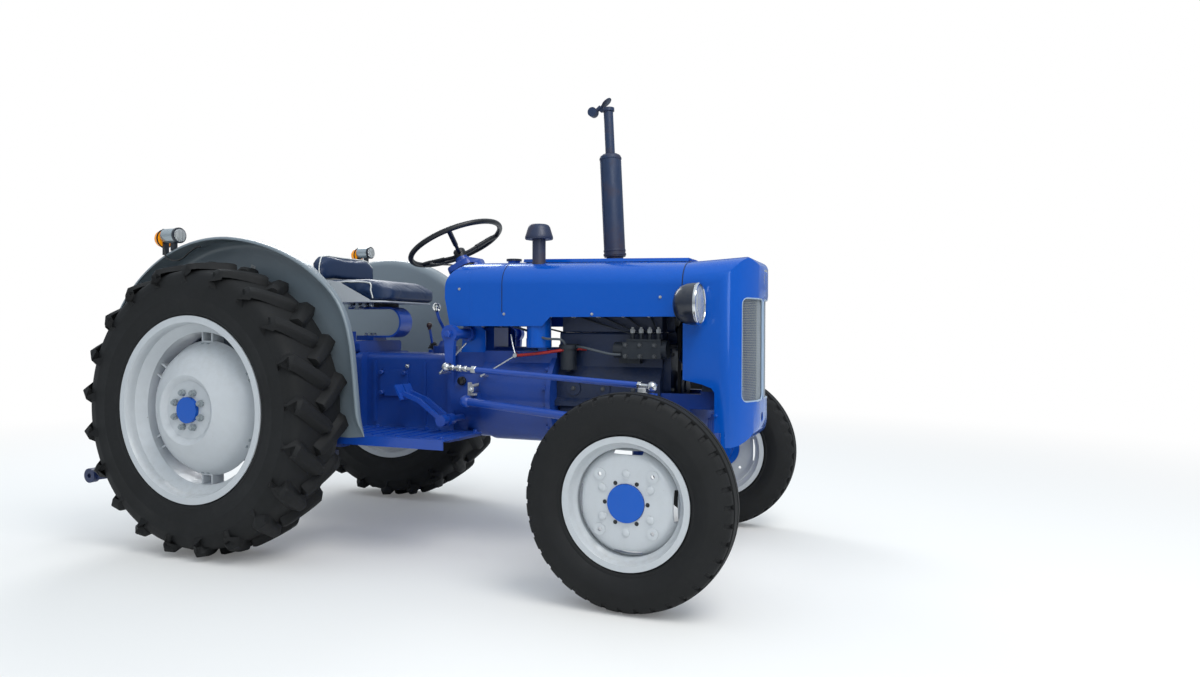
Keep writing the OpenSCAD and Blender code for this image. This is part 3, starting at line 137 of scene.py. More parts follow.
# Three soft boxes: a high key ahead of the tractor, a weak fill by the camera, and a rim from behind
SOFT_BOXES = [
    ("key", (3.6, -2.2, 5.2), 3.2, 175, (1.0, 0.97, 0.93)),
    ("fill", (3.6, -4.8, 3.4), 3.0, 60, (0.93, 0.96, 1.0)),
    ("rim", (-3.4, 3.4, 4.4), 3.0, 120, (1.0, 1.0, 1.0)),
]
for name, place, size, power, tint in SOFT_BOXES:
    lamp = bpy.data.lights.new(name, "AREA")
    lamp.shape, lamp.size, lamp.energy, lamp.color = "DISK", size, power, tint
    soft_box = bpy.data.objects.new(name, lamp)
    soft_box.location = place
    aim = Vector((0.1, 0, 0.7)) - Vector(place)
    soft_box.rotation_euler = aim.to_track_quat("-Z", "Y").to_euler()
    scene.collection.objects.link(soft_box)


# Sheet metal: nose, bonnet, tank and cowl are pressed steel sheet in gloss enamel, sprayed over primer.
# Each is the CAD shape with its loose facets joined, so that the enamel runs smoothly over the curves.
def enamel(name, colour, roughness=0.3, coat=0.35, wave_mm=14, wave=0.05, dust="#8F8A7E", dust_amount=0.12,
           chip="#2B2A2C", chip_amount=0.0, mottle=0.08, metallic=0.0):
    """Sprayed alkyd enamel: an even coat with a slight orange peel, dust on what faces up, and small chips.
    The real peel is about 2 mm; it is drawn at wave_mm so that it shows at this distance."""
    made, tree, shader = blank_material(name)
    place = add_node(tree, "ShaderNodeTexCoord").outputs["Object"]
    cloud = add_node(tree, "ShaderNodeTexNoise", {"Vector": place, "Scale": 3.2, "Detail": 4.0, "Roughness": 0.6})
    base = paint_colour(colour)
    deep = tuple(c * (1 - 3 * mottle) for c in base[:3]) + (1,)
    faded = add_node(tree, "ShaderNodeMix", {0: cloud.outputs["Fac"], 6: deep, 7: base}, data_type="RGBA")
    facing = add_node(tree, "ShaderNodeSeparateXYZ", {0: add_node(tree, "ShaderNodeNewGeometry").outputs["Normal"]})
    grit = add_node(tree, "ShaderNodeTexNoise", {"Vector": place, "Scale": 38.0, "Detail": 6.0, "Roughness": 0.7})
    top = add_node(tree, "ShaderNodeMapRange", {0: facing.outputs[2], 1: 0.2, 2: 1.0, 3: 0.25, 4: 1.0})
    speck = add_node(tree, "ShaderNodeMapRange", {0: grit.outputs["Fac"], 1: 0.42, 2: 0.75, 3: 0.0, 4: 1.0})
    lies = add_node(tree, "ShaderNodeMath", {0: top.outputs[0], 1: speck.outputs[0]}, operation="MULTIPLY")
    dusty = add_node(tree, "ShaderNodeMath", {0: lies.outputs[0], 1: dust_amount}, operation="MULTIPLY")
    colour_out = add_node(tree, "ShaderNodeMix", {0: dusty.outputs[0], 6: faded.outputs[2], 7: paint_colour(dust)},
                          data_type="RGBA").outputs[2]
    if chip_amount:
        flake = add_node(tree, "ShaderNodeTexVoronoi", {"Vector": place, "Scale": 26.0, "Randomness": 1.0})
        where = add_node(tree, "ShaderNodeTexNoise", {"Vector": place, "Scale": 9.0, "Detail": 5.0})
        reach = add_node(tree, "ShaderNodeMapRange",
                         {0: where.outputs["Fac"], 1: 0.56, 2: 0.75, 3: 0.0, 4: chip_amount})
        bare = add_node(tree, "ShaderNodeMath", {0: flake.outputs["Distance"], 1: reach.outputs[0]},
                        operation="LESS_THAN")
        colour_out = add_node(tree, "ShaderNodeMix", {0: bare.outputs[0], 6: colour_out, 7: paint_colour(chip)},
                              data_type="RGBA").outputs[2]
    tree.links.new(colour_out, shader.inputs["Base Color"])
    rough = add_node(tree, "ShaderNodeMapRange", {0: lies.outputs[0], 1: 0.0, 2: 1.0, 3: roughness,
                                                  4: min(0.9, roughness + 0.25)})
    tree.links.new(rough.outputs[0], shader.inputs["Roughness"])
    peel = add_node(tree, "ShaderNodeTexNoise", {"Vector": place, "Scale": 1000 / wave_mm, "Detail": 3.0})
    bump = add_node(tree, "ShaderNodeBump", {"Strength": wave, "Distance": 0.002, "Height": peel.outputs["Fac"]})
    tree.links.new(bump.outputs[0], shader.inputs["Normal"])
    shader.inputs["Coat Weight"].default_value = coat
    shader.inputs["Coat Roughness"].default_value = 0.08
    shader.inputs["IOR"].default_value = 1.5
    shader.inputs["Metallic"].default_value = metallic
    return made


body_enamel = enamel("gloss_blue_enamel_on_steel_sheet", "#0454B4", roughness=0.18, coat=0.3, wave=0.015,
                     dust_amount=0.04, mottle=0.03, chip_amount=0.02)
# the shine and the coat are tinted blue, a painted reflection of blue sky, so that the shine isn't chalky
for name in ("Specular Tint", "Coat Tint"):
    body_enamel.node_tree.nodes["Principled BSDF"].inputs[name].default_value = (0.45, 0.72, 1.0, 1)


def joined_copy(node, name, finish, body="chassis", crease=32, pick=None):
    """A CAD node's shape as one smooth mesh: facets joined, curves shaded smooth, edges over crease degrees kept sharp.
    With several finishes, pick gives the number of the finish for a face from its middle."""
    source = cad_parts[node]
    mesh = source.data.copy()
    mesh.name = name
    work = bmesh.new()
    work.from_mesh(mesh)
    bmesh.ops.remove_doubles(work, verts=work.verts, dist=2e-5)
    bmesh.ops.dissolve_degenerate(work, edges=work.edges, dist=1e-6)
    for face in work.faces:
        face.smooth = True
        face.material_index = pick(face.calc_center_median()) if pick else 0
    for edge in work.edges:
        edge.smooth = len(edge.link_faces) == 2 and edge.calc_face_angle(0) < math.radians(crease)
    work.to_mesh(mesh)
    work.free()
    marks = [face.material_index for face in mesh.polygons]
    mesh.materials.clear()
    for material in finish if isinstance(finish, list) else [finish]:
        mesh.materials.append(material)
    mesh.polygons.foreach_set("material_index", marks)
    made = bpy.data.objects.new(name, mesh)
    scene.collection.objects.link(made)
    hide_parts(node)
    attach(made, body)
    return made


for node in ("nose_shell", "bonnet", "dash_cowl"):
    joined_copy(node, node + "_sheet", body_enamel)
# the tank's pressed cap turns on a blue neck
cap_enamel = enamel("worn_black_enamel_on_pressed_cap", "#1B2433", roughness=0.35, coat=0.2, dust_amount=0.3,
                    chip_amount=0.05)
joined_copy("fuel_tank", "fuel_tank_sheet", [body_enamel, cap_enamel],
            pick=lambda c: int(c.z > 1.2452))
joined_copy("bonnet_flap", "bonnet_flap_sheet", body_enamel, "flap")
# Rear tyres: moulded rubber with 21 bars a side on a ribless carcass. The bars run from low on the shoulder
# to just past the middle, and their noses lead forward at the top of the wheel.
def rubber(name, colour="#0B0D0F", dust="#2C2C2A", dust_amount=0.14):
    """Weathered tyre rubber, matt and slightly grey, with soil dust in the hollows of its grain.
    The grain is drawn at 5 mm, since the real one, under 1 mm, doesn't show from here."""
    made, tree, shader = blank_material(name)
    place = add_node(tree, "ShaderNodeTexCoord").outputs["Object"]
    cloud = add_node(tree, "ShaderNodeTexNoise", {"Vector": place, "Scale": 5.0, "Detail": 6.0, "Roughness": 0.65})
    grain = add_node(tree, "ShaderNodeTexNoise", {"Vector": place, "Scale": 200.0, "Detail": 3.0})
    lies = add_node(tree, "ShaderNodeMapRange", {0: cloud.outputs["Fac"], 1: 0.42, 2: 0.72, 3: 0.0, 4: dust_amount})
    mixed = add_node(tree, "ShaderNodeMix", {0: lies.outputs[0], 6: paint_colour(colour), 7: paint_colour(dust)},
                     data_type="RGBA")
    tree.links.new(mixed.outputs[2], shader.inputs["Base Color"])
    rough = add_node(tree, "ShaderNodeMapRange", {0: cloud.outputs["Fac"], 1: 0.3, 2: 0.7, 3: 0.62, 4: 0.85})
    tree.links.new(rough.outputs[0], shader.inputs["Roughness"])
    bump = add_node(tree, "ShaderNodeBump", {"Strength": 0.25, "Distance": 0.001, "Height": grain.outputs["Fac"]})
    tree.links.new(bump.outputs[0], shader.inputs["Normal"])
    shader.inputs["IOR"].default_value = 1.52
    shader.inputs["Specular IOR Level"].default_value = 0.36
    return made


tyre_rubber = rubber("black_tyre_rubber_weathered")


def build_piece(name, points, faces, materials, body, crease=35, slots=None, slot=None, merge=1e-5, transform=None):
    """A mesh piece from points and faces in the tractor's frame.
    Doubles are joined, faces turned outwards and soft edges shaded smooth."""
    work = bmesh.new()
    made_points = [work.verts.new(p) for p in points]
    for number, face in enumerate(faces):
        if len(set(face)) < 3:
            continue
        made_face = work.faces.new([made_points[i] for i in face])
        made_face.material_index = slots[number] if slots else 0
    bmesh.ops.remove_doubles(work, verts=work.verts, dist=merge)
    bmesh.ops.dissolve_degenerate(work, edges=work.edges, dist=1e-7)
    bmesh.ops.recalc_face_normals(work, faces=work.faces)
    for face in work.faces:
        face.smooth = True
    for edge in work.edges:
        edge.smooth = len(edge.link_faces) == 2 and edge.calc_face_angle(0) < math.radians(crease)
    mesh = bpy.data.meshes.new(name)
    work.to_mesh(mesh)
    work.free()
    for material in materials:
        mesh.materials.append(material)
    made = bpy.data.objects.new(name, mesh)
    scene.collection.objects.link(made)
    if transform:
        mesh.transform(transform)
    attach(made, body)
    return made


def turned(profile, steps, closed=False):
    """Points and faces of a profile, radius and y, turned round the wheel's axis.
    Angle 0 is up, and it grows forward."""
    points, faces, n = [], [], len(profile)
    for i in range(steps):
        a = 2 * math.pi * i / steps
        points += [(r * math.sin(a), y, r * math.cos(a)) for r, y in profile]
    for i in range(steps):
        k = (i + 1) % steps
        for j in range(n if closed else n - 1):
            faces.append((i * n + j, i * n + (j + 1) % n, k * n + (j + 1) % n, k * n + j))
    return points, faces


def gather(parts):
    """Several (points, faces) as one."""
    points, faces = [], []
    for more_points, more_faces in parts:
        start = len(points)
        points += list(more_points)
        faces += [tuple(start + i for i in face) for face in more_faces]
    return points, faces


def flipped(part):
    """A part mirrored from one side of the tractor to the other."""
    return [(x, -y, z) for x, y, z in part[0]], [tuple(reversed(face)) for face in part[1]]


def placed(part, x, y, z):
    return [(p[0] + x, p[1] + y, p[2] + z) for p in part[0]], part[1]


REAR_AXLE, FRONT_AXLE = (-0.6585, 0.660, 0.610), (1.1955, 0.660, 0.367)
BAR_COUNT = 21
BAR_LEAD = math.radians(10.5)
# a bar's stations: base radius and y, tip radius and y, half width at the tip; y grows towards the tyre's edge
BAR_STATIONS = [
    (0.512, 0.1375, 0.516, 0.1400, 0.011), (0.538, 0.1360, 0.549, 0.1414, 0.015),
    (0.558, 0.1290, 0.577, 0.1400, 0.019),
    (0.568, 0.1180, 0.5905, 0.1310, 0.021), (0.573, 0.0980, 0.5965, 0.1050, 0.0195),
    (0.576, 0.0680, 0.602, 0.0700, 0.018),
    (0.578, 0.0350, 0.6065, 0.0350, 0.017), (0.579, 0.0050, 0.6095, 0.0050, 0.0165),
    (0.579, -0.0140, 0.6098, -0.0130, 0.0155),
    (0.579, -0.0260, 0.6060, -0.0225, 0.0110)]


def tread_bar(at):
    """One bar on the side where y is positive, its outer end at the angle at."""
    middles = []
    for base_r, base_y, tip_r, tip_y, half in BAR_STATIONS:
        a = at + BAR_LEAD * (0.135 - min(tip_y, 0.135)) / 0.16
        middles.append((a, base_r, base_y, tip_r, tip_y, half))
    spots = [Vector((t * math.sin(a), y, t * math.cos(a))) for a, _, _, t, y, _ in middles]
    points = []
    for i, (a, base_r, base_y, tip_r, tip_y, half) in enumerate(middles):
        along = (spots[min(i + 1, len(spots) - 1)] - spots[max(i - 1, 0)]).normalized()
        out = Vector((math.sin(a), 0, math.cos(a)))
        tip = spots[i]
        base = Vector((base_r * math.sin(a), base_y, base_r * math.cos(a)))
        rise = (tip - base)
        across = along.cross(out).normalized()
        flare = 0.010 + 0.3 * rise.length
        points += [base - across * (half + flare), base.lerp(tip, 0.55) - across * (half + flare * 0.42),
                   base.lerp(tip, 0.92) - across * (half + 0.001), tip - across * (half - 0.0035),
                   tip + across * (half - 0.0035), base.lerp(tip, 0.92) + across * (half + 0.001),
                   base.lerp(tip, 0.55) + across * (half + flare * 0.42), base + across * (half + flare)]
    n, last = 8, len(middles) - 1
    faces = [(i * n + j, i * n + (j + 1) % n, (i + 1) * n + (j + 1) % n,
              (i + 1) * n + j) for i in range(last) for j in range(n)]
    faces += [tuple(range(n)), tuple(last * n + j for j in reversed(range(n)))]
    return [tuple(p) for p in points], faces


# the carcass's outline: bead by the rim's flange, a rubbing rib, the bulging wall, the shoulder and the tread's floor
rear_wall = [(0.358, 0.1130), (0.368, 0.1205), (0.3825, 0.1200), (0.387, 0.1215), (0.391, 0.1275), (0.398, 0.1300),
             (0.401, 0.1290),
             (0.412, 0.1310), (0.430, 0.1352), (0.450, 0.1388), (0.4555, 0.1410), (0.4600, 0.1400), (0.480, 0.1402),
             (0.505, 0.1392), (0.512, 0.1402),
             (0.516, 0.1385), (0.532, 0.1360), (0.548, 0.1310), (0.560, 0.1220), (0.568, 0.1080), (0.574, 0.080),
             (0.578, 0.040)]
rear_carcass = turned(rear_wall + [(0.5795, 0)] + [(r, -y) for r, y in reversed(rear_wall)] + [(0.350, -0.09),
        (0.350, 0.09)], 120, closed=True)
pitch = 2 * math.pi / BAR_COUNT
bars = [tread_bar(pitch * i) for i in range(BAR_COUNT)]
bars += [flipped(tread_bar(pitch * (i + 0.5))) for i in range(BAR_COUNT)]
for side, word in ((1, "left"), (-1, "right")):
    x, y, z = REAR_AXLE
    whole = gather([rear_carcass] + bars)
    whole = placed(whole if side > 0 else flipped(whole), x, side * y, z)
    made = build_piece(f"rear_tyre_{word}_barred", *whole, [tyre_rubber], f"wheel_rear_{word}", crease=38,
                       slot="tyre_rubber")
    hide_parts(f"rear_tyre_{word}")

# Front tyres: implement tyres with notched shoulder blocks and three grooves round the tread,
# one surface with 38 notches a side sunk 7 mm into the shoulders.
front_wall = [(0.205, 0.0440), (0.213, 0.0500), (0.2235, 0.0500), (0.227, 0.0525), (0.231, 0.0590), (0.237, 0.0610),
              (0.240, 0.0605), (0.252, 0.0680),
              (0.268, 0.0755), (0.284, 0.0790), (0.290, 0.0797), (0.294, 0.0790), (0.306, 0.0780), (0.322, 0.0735),
              (0.332, 0.0700), (0.336, 0.0690),
              (0.344, 0.0665), (0.3520, 0.0625), (0.3575, 0.0560), (0.3595, 0.0480), (0.3605, 0.0420)]
front_tread = [(0.3608, 0.0400), (0.3540, 0.0380), (0.3540, 0.0330), (0.3632, 0.0310), (0.3650, 0.0160),
               (0.3655, 0.0060), (0.3585, 0.0040), (0.3585, 0.0)]
NOTCHES = 38
half_section = front_wall + front_tread
section = half_section + [(r, -y) for r, y in reversed(half_section[:-1])] + [(0.200, -0.036), (0.200, 0.036)]
angles = []
for i in range(NOTCHES):
    angles += [(i + f) * 2 * math.pi / NOTCHES for f in (0.0, 0.05, 0.09, 0.30, 0.34, 0.39, 0.55, 0.78)]
points, faces, n = [], [], len(section)
for i, a in enumerate(angles):
    for j, (r, y) in enumerate(section):
        # the notches on one side stand half a pitch on from the other's
        step = (i % 8) if y > 0 else ((i + 4) % 8)
        deep = {2: 1.0, 3: 1.0}.get(step, 0.0) if step in (2, 3) else 0.0
        reach = 1.0 if 0.0405 < abs(y) < 0.0668 and r > 0.342 else 0.0
        zig = 0.0022 * (1 if step in (1, 2, 3) else -1) if 0.030 < abs(y) < 0.0405 and r > 0.35 else 0.0
        r2 = r - 0.0075 * deep * reach
        points.append((r2 * math.sin(a), y + math.copysign(zig, y) if y else y, r2 * math.cos(a)))
for i in range(len(angles)):
    k = (i + 1) % len(angles)
    for j in range(n):
        faces.append((i * n + j, i * n + (j + 1) % n, k * n + (j + 1) % n, k * n + j))
for side, word in ((1, "left"), (-1, "right")):
    x, y, z = FRONT_AXLE
    whole = (points, faces) if side > 0 else flipped((points, faces))
    made = build_piece(f"front_tyre_{word}_notched", *placed(whole, x, side * y, z), [tyre_rubber],
                       f"wheel_front_{word}", crease=38, slot="tyre_rubber")
    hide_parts(f"front_tyre_{word}")

# Rims and discs: pressed and rolled steel, welded together, in off-white enamel.
# Hubs and caps are blue; the rear stud nuts carry the wheel's grey and the front stud ends are painted near black, a
# painted shade as if they were holes.
wheel_enamel = enamel("off_white_wheel_enamel_on_steel", "#C3C8CC", roughness=0.36, coat=0.2, dust="#8B8475",
                      dust_amount=0.3,
                      chip="#6B5F55", chip_amount=0.05, mottle=0.05)
stud_grey = enamel("grey_enamel_over_stud_nuts", "#8E979C", roughness=0.42, coat=0.1, dust="#5D5A52",
                   dust_amount=0.35, chip="#3F4145", chip_amount=0.08)
# near black for the front stud ends, standing in for the shade inside holes: painted shade
stud_ends_painted_hole_shade = enamel("stud_ends_dark_as_painted_hole_shade", "#15181C", roughness=0.45, coat=0.0, wave_mm=5, wave=0.1, dust="#3A3833",
                    dust_amount=0.3, mottle=0.1)
DISC_FACE = FRONT_AXLE[1] + 0.034
for word in ("left", "right"):
    joined_copy(f"rear_rim_{word}", f"rear_wheel_disc_{word}", wheel_enamel, f"wheel_rear_{word}")
    joined_copy(f"front_rim_{word}", f"front_wheel_disc_{word}", wheel_enamel, f"wheel_front_{word}")
    # the eight stud nuts are the wheel's grey, the hub between them blue
    joined_copy(f"rear_hub_{word}", f"rear_axle_hub_{word}", [body_enamel, stud_grey],
                f"wheel_rear_{word}",
                pick=lambda c: int(0.058 < math.hypot(c.x + 0.6585, c.z - 0.610) < 0.092 and abs(c.y) > 0.676))
    # the front discs' six stud ends are painted near black: painted shade, as if they were holes
    joined_copy(f"front_hub_{word}", f"front_axle_hub_{word}", [body_enamel, stud_ends_painted_hole_shade],
                f"wheel_front_{word}",
                pick=lambda c: int(0.067 < math.hypot(c.x - FRONT_AXLE[0],
                                                      c.z - FRONT_AXLE[2]) < 0.083 and abs(c.y) > DISC_FACE))

# Castings: gearbox, clutch housing, axle and axle ends are sand-cast iron, bolted flange to flange. The blue is
# brushed on thick over a coarse skin, and its hollows hold oil and grime.
cast_enamel = enamel("blue_enamel_on_sand_cast_iron", "#0E3F97", roughness=0.4, coat=0.12, wave_mm=9, wave=0.35,
                     dust="#4E4A42",
                     dust_amount=0.3, chip="#2A221C", chip_amount=0.05, mottle=0.12)
forged_enamel = enamel("blue_enamel_on_forged_steel", "#0C46A8", roughness=0.32, coat=0.25, wave_mm=9, wave=0.12,
                       dust="#5C564C",
                       dust_amount=0.25, chip="#3A2A20", chip_amount=0.06, mottle=0.08)
# the engine's blue is darkened almost to black: partly oil and road dirt, partly painted shade as under the bonnet
oil_and_shade_darkened_enamel = enamel("oil_and_painted_shade_darkened_blue_enamel_on_iron", "#12284E", roughness=0.45, coat=0.1, wave_mm=8, wave=0.4,
                     dust="#3A3A34",
                     dust_amount=0.5, chip="#1B1815", chip_amount=0.06, mottle=0.2)
dark_enamel = enamel("satin_navy_enamel_on_steel", "#16233A", roughness=0.42, coat=0.1, wave_mm=9, wave=0.12,
                     dust="#6B6860", dust_amount=0.2)
for node in ("clutch_and_gearbox", "rear_axle_case", "lift_cover", "front_axle", "front_support"):
    joined_copy(node, node + "_casting", cast_enamel)
for node in ("steering_box", "radius_rods", "pedals"):
    joined_copy(node, node + "_forging", forged_enamel)
for word in ("left", "right"):
    joined_copy(f"knuckle_{word}", f"steering_knuckle_{word}", forged_enamel, f"steer_knuckle_{word}")
    joined_copy(f"drop_arm_{word}", f"steering_drop_arm_{word}", forged_enamel, f"drop_{word}")


def from_axle(x, y, z):
    """A place in the frame's metres, from millimetres measured forward of the rear axle and up from the ground."""
    return Vector(((x - 658.5) / 1000, y / 1000, z / 1000))


# Bolts: hexagon heads on washers, zinc plated and painted over with the casting that they hold
def node_link(tree, source, target, socket):
    tree.links.new(source, target.inputs[socket])


bolt_tree = bpy.data.node_groups.new("hexagon_bolts", "GeometryNodeTree")
for name, kind in (("Places", "NodeSocketGeometry"), ("Across Flats", "NodeSocketFloat"),
                   ("Head Height", "NodeSocketFloat"),
                   ("Finish", "NodeSocketMaterial")):
    bolt_tree.interface.new_socket(name, in_out="INPUT", socket_type=kind)
bolt_tree.interface.new_socket("Bolts", in_out="OUTPUT", socket_type="NodeSocketGeometry")
given = bolt_tree.nodes.new("NodeGroupInput")
radius = add_node(bolt_tree, "ShaderNodeMath", {0: given.outputs["Across Flats"], 1: 0.5774}, operation="MULTIPLY")
washer_r = add_node(bolt_tree, "ShaderNodeMath", {0: given.outputs["Across Flats"], 1: 0.72}, operation="MULTIPLY")
half_height = add_node(bolt_tree, "ShaderNodeMath", {0: given.outputs["Head Height"], 1: 0.65}, operation="MULTIPLY")
chamfer_r = add_node(bolt_tree, "ShaderNodeMath", {0: radius.outputs[0], 1: 0.78}, operation="MULTIPLY")
chamfer_h = add_node(bolt_tree, "ShaderNodeMath", {0: given.outputs["Head Height"], 1: 0.14}, operation="MULTIPLY")
chamfer_z = add_node(bolt_tree, "ShaderNodeMath", {0: given.outputs["Head Height"], 1: 1.15}, operation="MULTIPLY")
head = add_node(bolt_tree, "GeometryNodeMeshCylinder",
                {"Vertices": 6, "Radius": radius.outputs[0], "Depth": given.outputs["Head Height"]})
washer = add_node(bolt_tree, "GeometryNodeMeshCylinder", {"Vertices": 16, "Radius": washer_r.outputs[0]})
washer.inputs["Depth"].default_value = 0.003
crown = add_node(bolt_tree, "GeometryNodeMeshCone",
                 {"Vertices": 6, "Radius Top": chamfer_r.outputs[0], "Radius Bottom": radius.outputs[0],
                                                     "Depth": chamfer_h.outputs[0]})
lift = add_node(bolt_tree, "ShaderNodeCombineXYZ", {"Z": half_height.outputs[0]})
lift_crown = add_node(bolt_tree, "ShaderNodeCombineXYZ", {"Z": chamfer_z.outputs[0]})
raised = add_node(bolt_tree, "GeometryNodeTransform", {"Geometry": head.outputs[0], "Translation": lift.outputs[0]})
raised_crown = add_node(bolt_tree, "GeometryNodeTransform",
                        {"Geometry": crown.outputs[0], "Translation": lift_crown.outputs[0]})
one = bolt_tree.nodes.new("GeometryNodeJoinGeometry")
for part in (washer, raised, raised_crown):
    node_link(bolt_tree, part.outputs[0], one, 0)
facing = add_node(bolt_tree, "GeometryNodeInputNamedAttribute", {"Name": "facing"}, data_type="FLOAT_VECTOR")
turn = add_node(bolt_tree, "FunctionNodeAlignRotationToVector", {"Vector": facing.outputs["Attribute"]}, axis="Z")
copies = add_node(bolt_tree, "GeometryNodeInstanceOnPoints",
                  {"Points": given.outputs["Places"], "Instance": one.outputs[0],
                                                            "Rotation": turn.outputs[0]})
whole = add_node(bolt_tree, "GeometryNodeRealizeInstances", {"Geometry": copies.outputs[0]})
faced = add_node(bolt_tree, "GeometryNodeSetMaterial",
                 {"Geometry": whole.outputs[0], "Material": given.outputs["Finish"]})
node_link(bolt_tree, faced.outputs[0], bolt_tree.nodes.new("NodeGroupOutput"), 0)


def grown(name, seeds, tree, inputs, body):
    """What a Geometry Nodes tree makes of a seed mesh, as a plain mesh piece on one body."""
    carrier = bpy.data.objects.new(name, seeds)
    scene.collection.objects.link(carrier)
    grower = carrier.modifiers.new("grow", "NODES")
    grower.node_group = tree
    for socket in tree.interface.items_tree:
        if socket.item_type == "SOCKET" and socket.in_out == "INPUT" and socket.name in inputs:
            grower[socket.identifier] = inputs[socket.name]
    done = bpy.data.meshes.new_from_object(carrier.evaluated_get(bpy.context.evaluated_depsgraph_get()))
    bpy.data.objects.remove(carrier)
    done.name = name
    made = bpy.data.objects.new(name, done)
    scene.collection.objects.link(made)
    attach(made, body)
    return made


def bolts(name, spots, across_mm, height_mm, finish, body="chassis"):
    """Bolt heads at spots, each a place and the way it faces."""
    seeds = bpy.data.meshes.new(name + "_places")
    seeds.from_pydata([tuple(place) for place, _ in spots], [], [])
    faces_to = seeds.attributes.new("facing", "FLOAT_VECTOR", "POINT")
    for i, (_, way) in enumerate(spots):
        faces_to.data[i].vector = way
    return grown(name, seeds, bolt_tree, {"Across Flats": across_mm / 1000, "Head Height": height_mm / 1000,
                                          "Finish": finish}, body)


zinc_steel = enamel("dull_zinc_plated_steel", "#A9ACAE", roughness=0.38, coat=0.0, wave_mm=5, wave=0.1,
                    dust="#6B675E", dust_amount=0.35, mottle=0.1)
OUT_RIGHT, OUT_LEFT, FORWARD, REARWARD, UPWARD = (0, -1, 0), (0, 1, 0), (1, 0, 0), (-1, 0, 0), (0, 0, 1)
flange_bolts = []
for i in range(14):
    a = math.radians(-58 + 22.75 * i)
    # the clutch housing's flange against the engine, seen from behind
    flange_bolts.append((from_axle(1330, 214 * math.cos(a), 660 + 214 * math.sin(a)), REARWARD))
for side in (1, -1):
    for x, z in ((484, 654), (606, 654), (484, 746), (606, 746)):
        flange_bolts.append((from_axle(x, side * 160.5, z), (0, side, 0)))
    for a in range(0, 360, 45):
        c, s = math.cos(math.radians(a + 22)), math.sin(math.radians(a + 22))
        flange_bolts.append((from_axle(135 * c, side * 220.5, 610 + 135 * s), (0, side, 0)))
bolts("casting_flange_bolts", flange_bolts, 19, 11, cast_enamel)

# Rim lugs: each of the six is held to the disc's edge by two plated bolts, so that the track can be altered.
for side, word, way in ((1, "left", OUT_LEFT), (-1, "right", OUT_RIGHT)):
    spots = []
    for k in range(6):
        a = math.radians(30 + 60 * k)
        for across in (-15, 15):
            r, t = 262, across
            x = r * math.cos(a) - t * math.sin(a)
            z = 610 + r * math.sin(a) + t * math.cos(a)
            spots.append((from_axle(x, side * 687.2, z), way))
    bolts(f"rim_lug_bolts_{word}", spots, 17, 10, stud_grey, f"wheel_rear_{word}")

# Engine: an open cast-iron block with its head, pump, filter, dynamo and starter, in the tractor's blue darkened almost
# to black by years of oil and by painted shade. Core plugs, head bolts and pipes stand on it as they were fitted.
# block, head and fan in the darkened blue, partly oil and partly painted shade
for node in ("engine_block", "cylinder_head", "fan"):
    joined_copy(node, node + "_oily_and_shaded", oil_and_shade_darkened_enamel, "cooling_fan" if node == "fan" else "chassis")
pump_enamel = enamel("sooty_enamel_on_cast_aluminium", "#1D2733", roughness=0.5, coat=0.0, wave_mm=7, wave=0.4,
                     dust="#4A473E",
                     dust_amount=0.5, chip="#5C5E5E", chip_amount=0.05, mottle=0.2)
joined_copy("injection_pump", "injection_pump_cast", pump_enamel)
joined_copy("dynamo_and_starter", "dynamo_and_starter_shells", pump_enamel)
hot_iron = enamel("heat_browned_cast_iron", "#3A332E", roughness=0.75, coat=0.0, wave_mm=8, wave=0.5, dust="#6A4A33",
                  dust_amount=0.5, mottle=0.2)
joined_copy("exhaust_manifold", "exhaust_manifold_cast", hot_iron)

oily_steel = enamel("oil_darkened_steel", "#4A4E52", roughness=0.45, coat=0.0, wave_mm=5, wave=0.1, dust="#2C2A26",
                    dust_amount=0.5, mottle=0.15)
engine_bolts, small_bolts = [], []
for x in (1385, 1475, 1560, 1650, 1740, 1785):
    for side in (1, -1):
        engine_bolts.append((from_axle(x, side * 96, 1028.5), UPWARD))
for side in (1, -1):
    for x in (1375, 1425, 1500, 1620, 1700, 1785):
        small_bolts.append((from_axle(x, side * 146, 638), (0, 0, -1)))
    for x in (1430, 1560, 1690):
        small_bolts.append((from_axle(x, side * 156.5, 700), (0, side, 0)))
for x, z in ((1670, 836), (1730, 836), (1790, 836), (1670, 880), (1730, 880), (1790, 880)):
    small_bolts.append((from_axle(x, -194.5, z), OUT_RIGHT))
for y, z in ((-84, 700), (84, 700), (-84, 840), (84, 840), (0, 862), (-60, 668), (60, 668)):
    small_bolts.append((from_axle(1830.5, y, z), FORWARD))
bolts("engine_head_bolts", engine_bolts, 19, 13, oil_and_shade_darkened_enamel)
bolts("engine_cover_bolts", small_bolts, 13, 8, oily_steel)

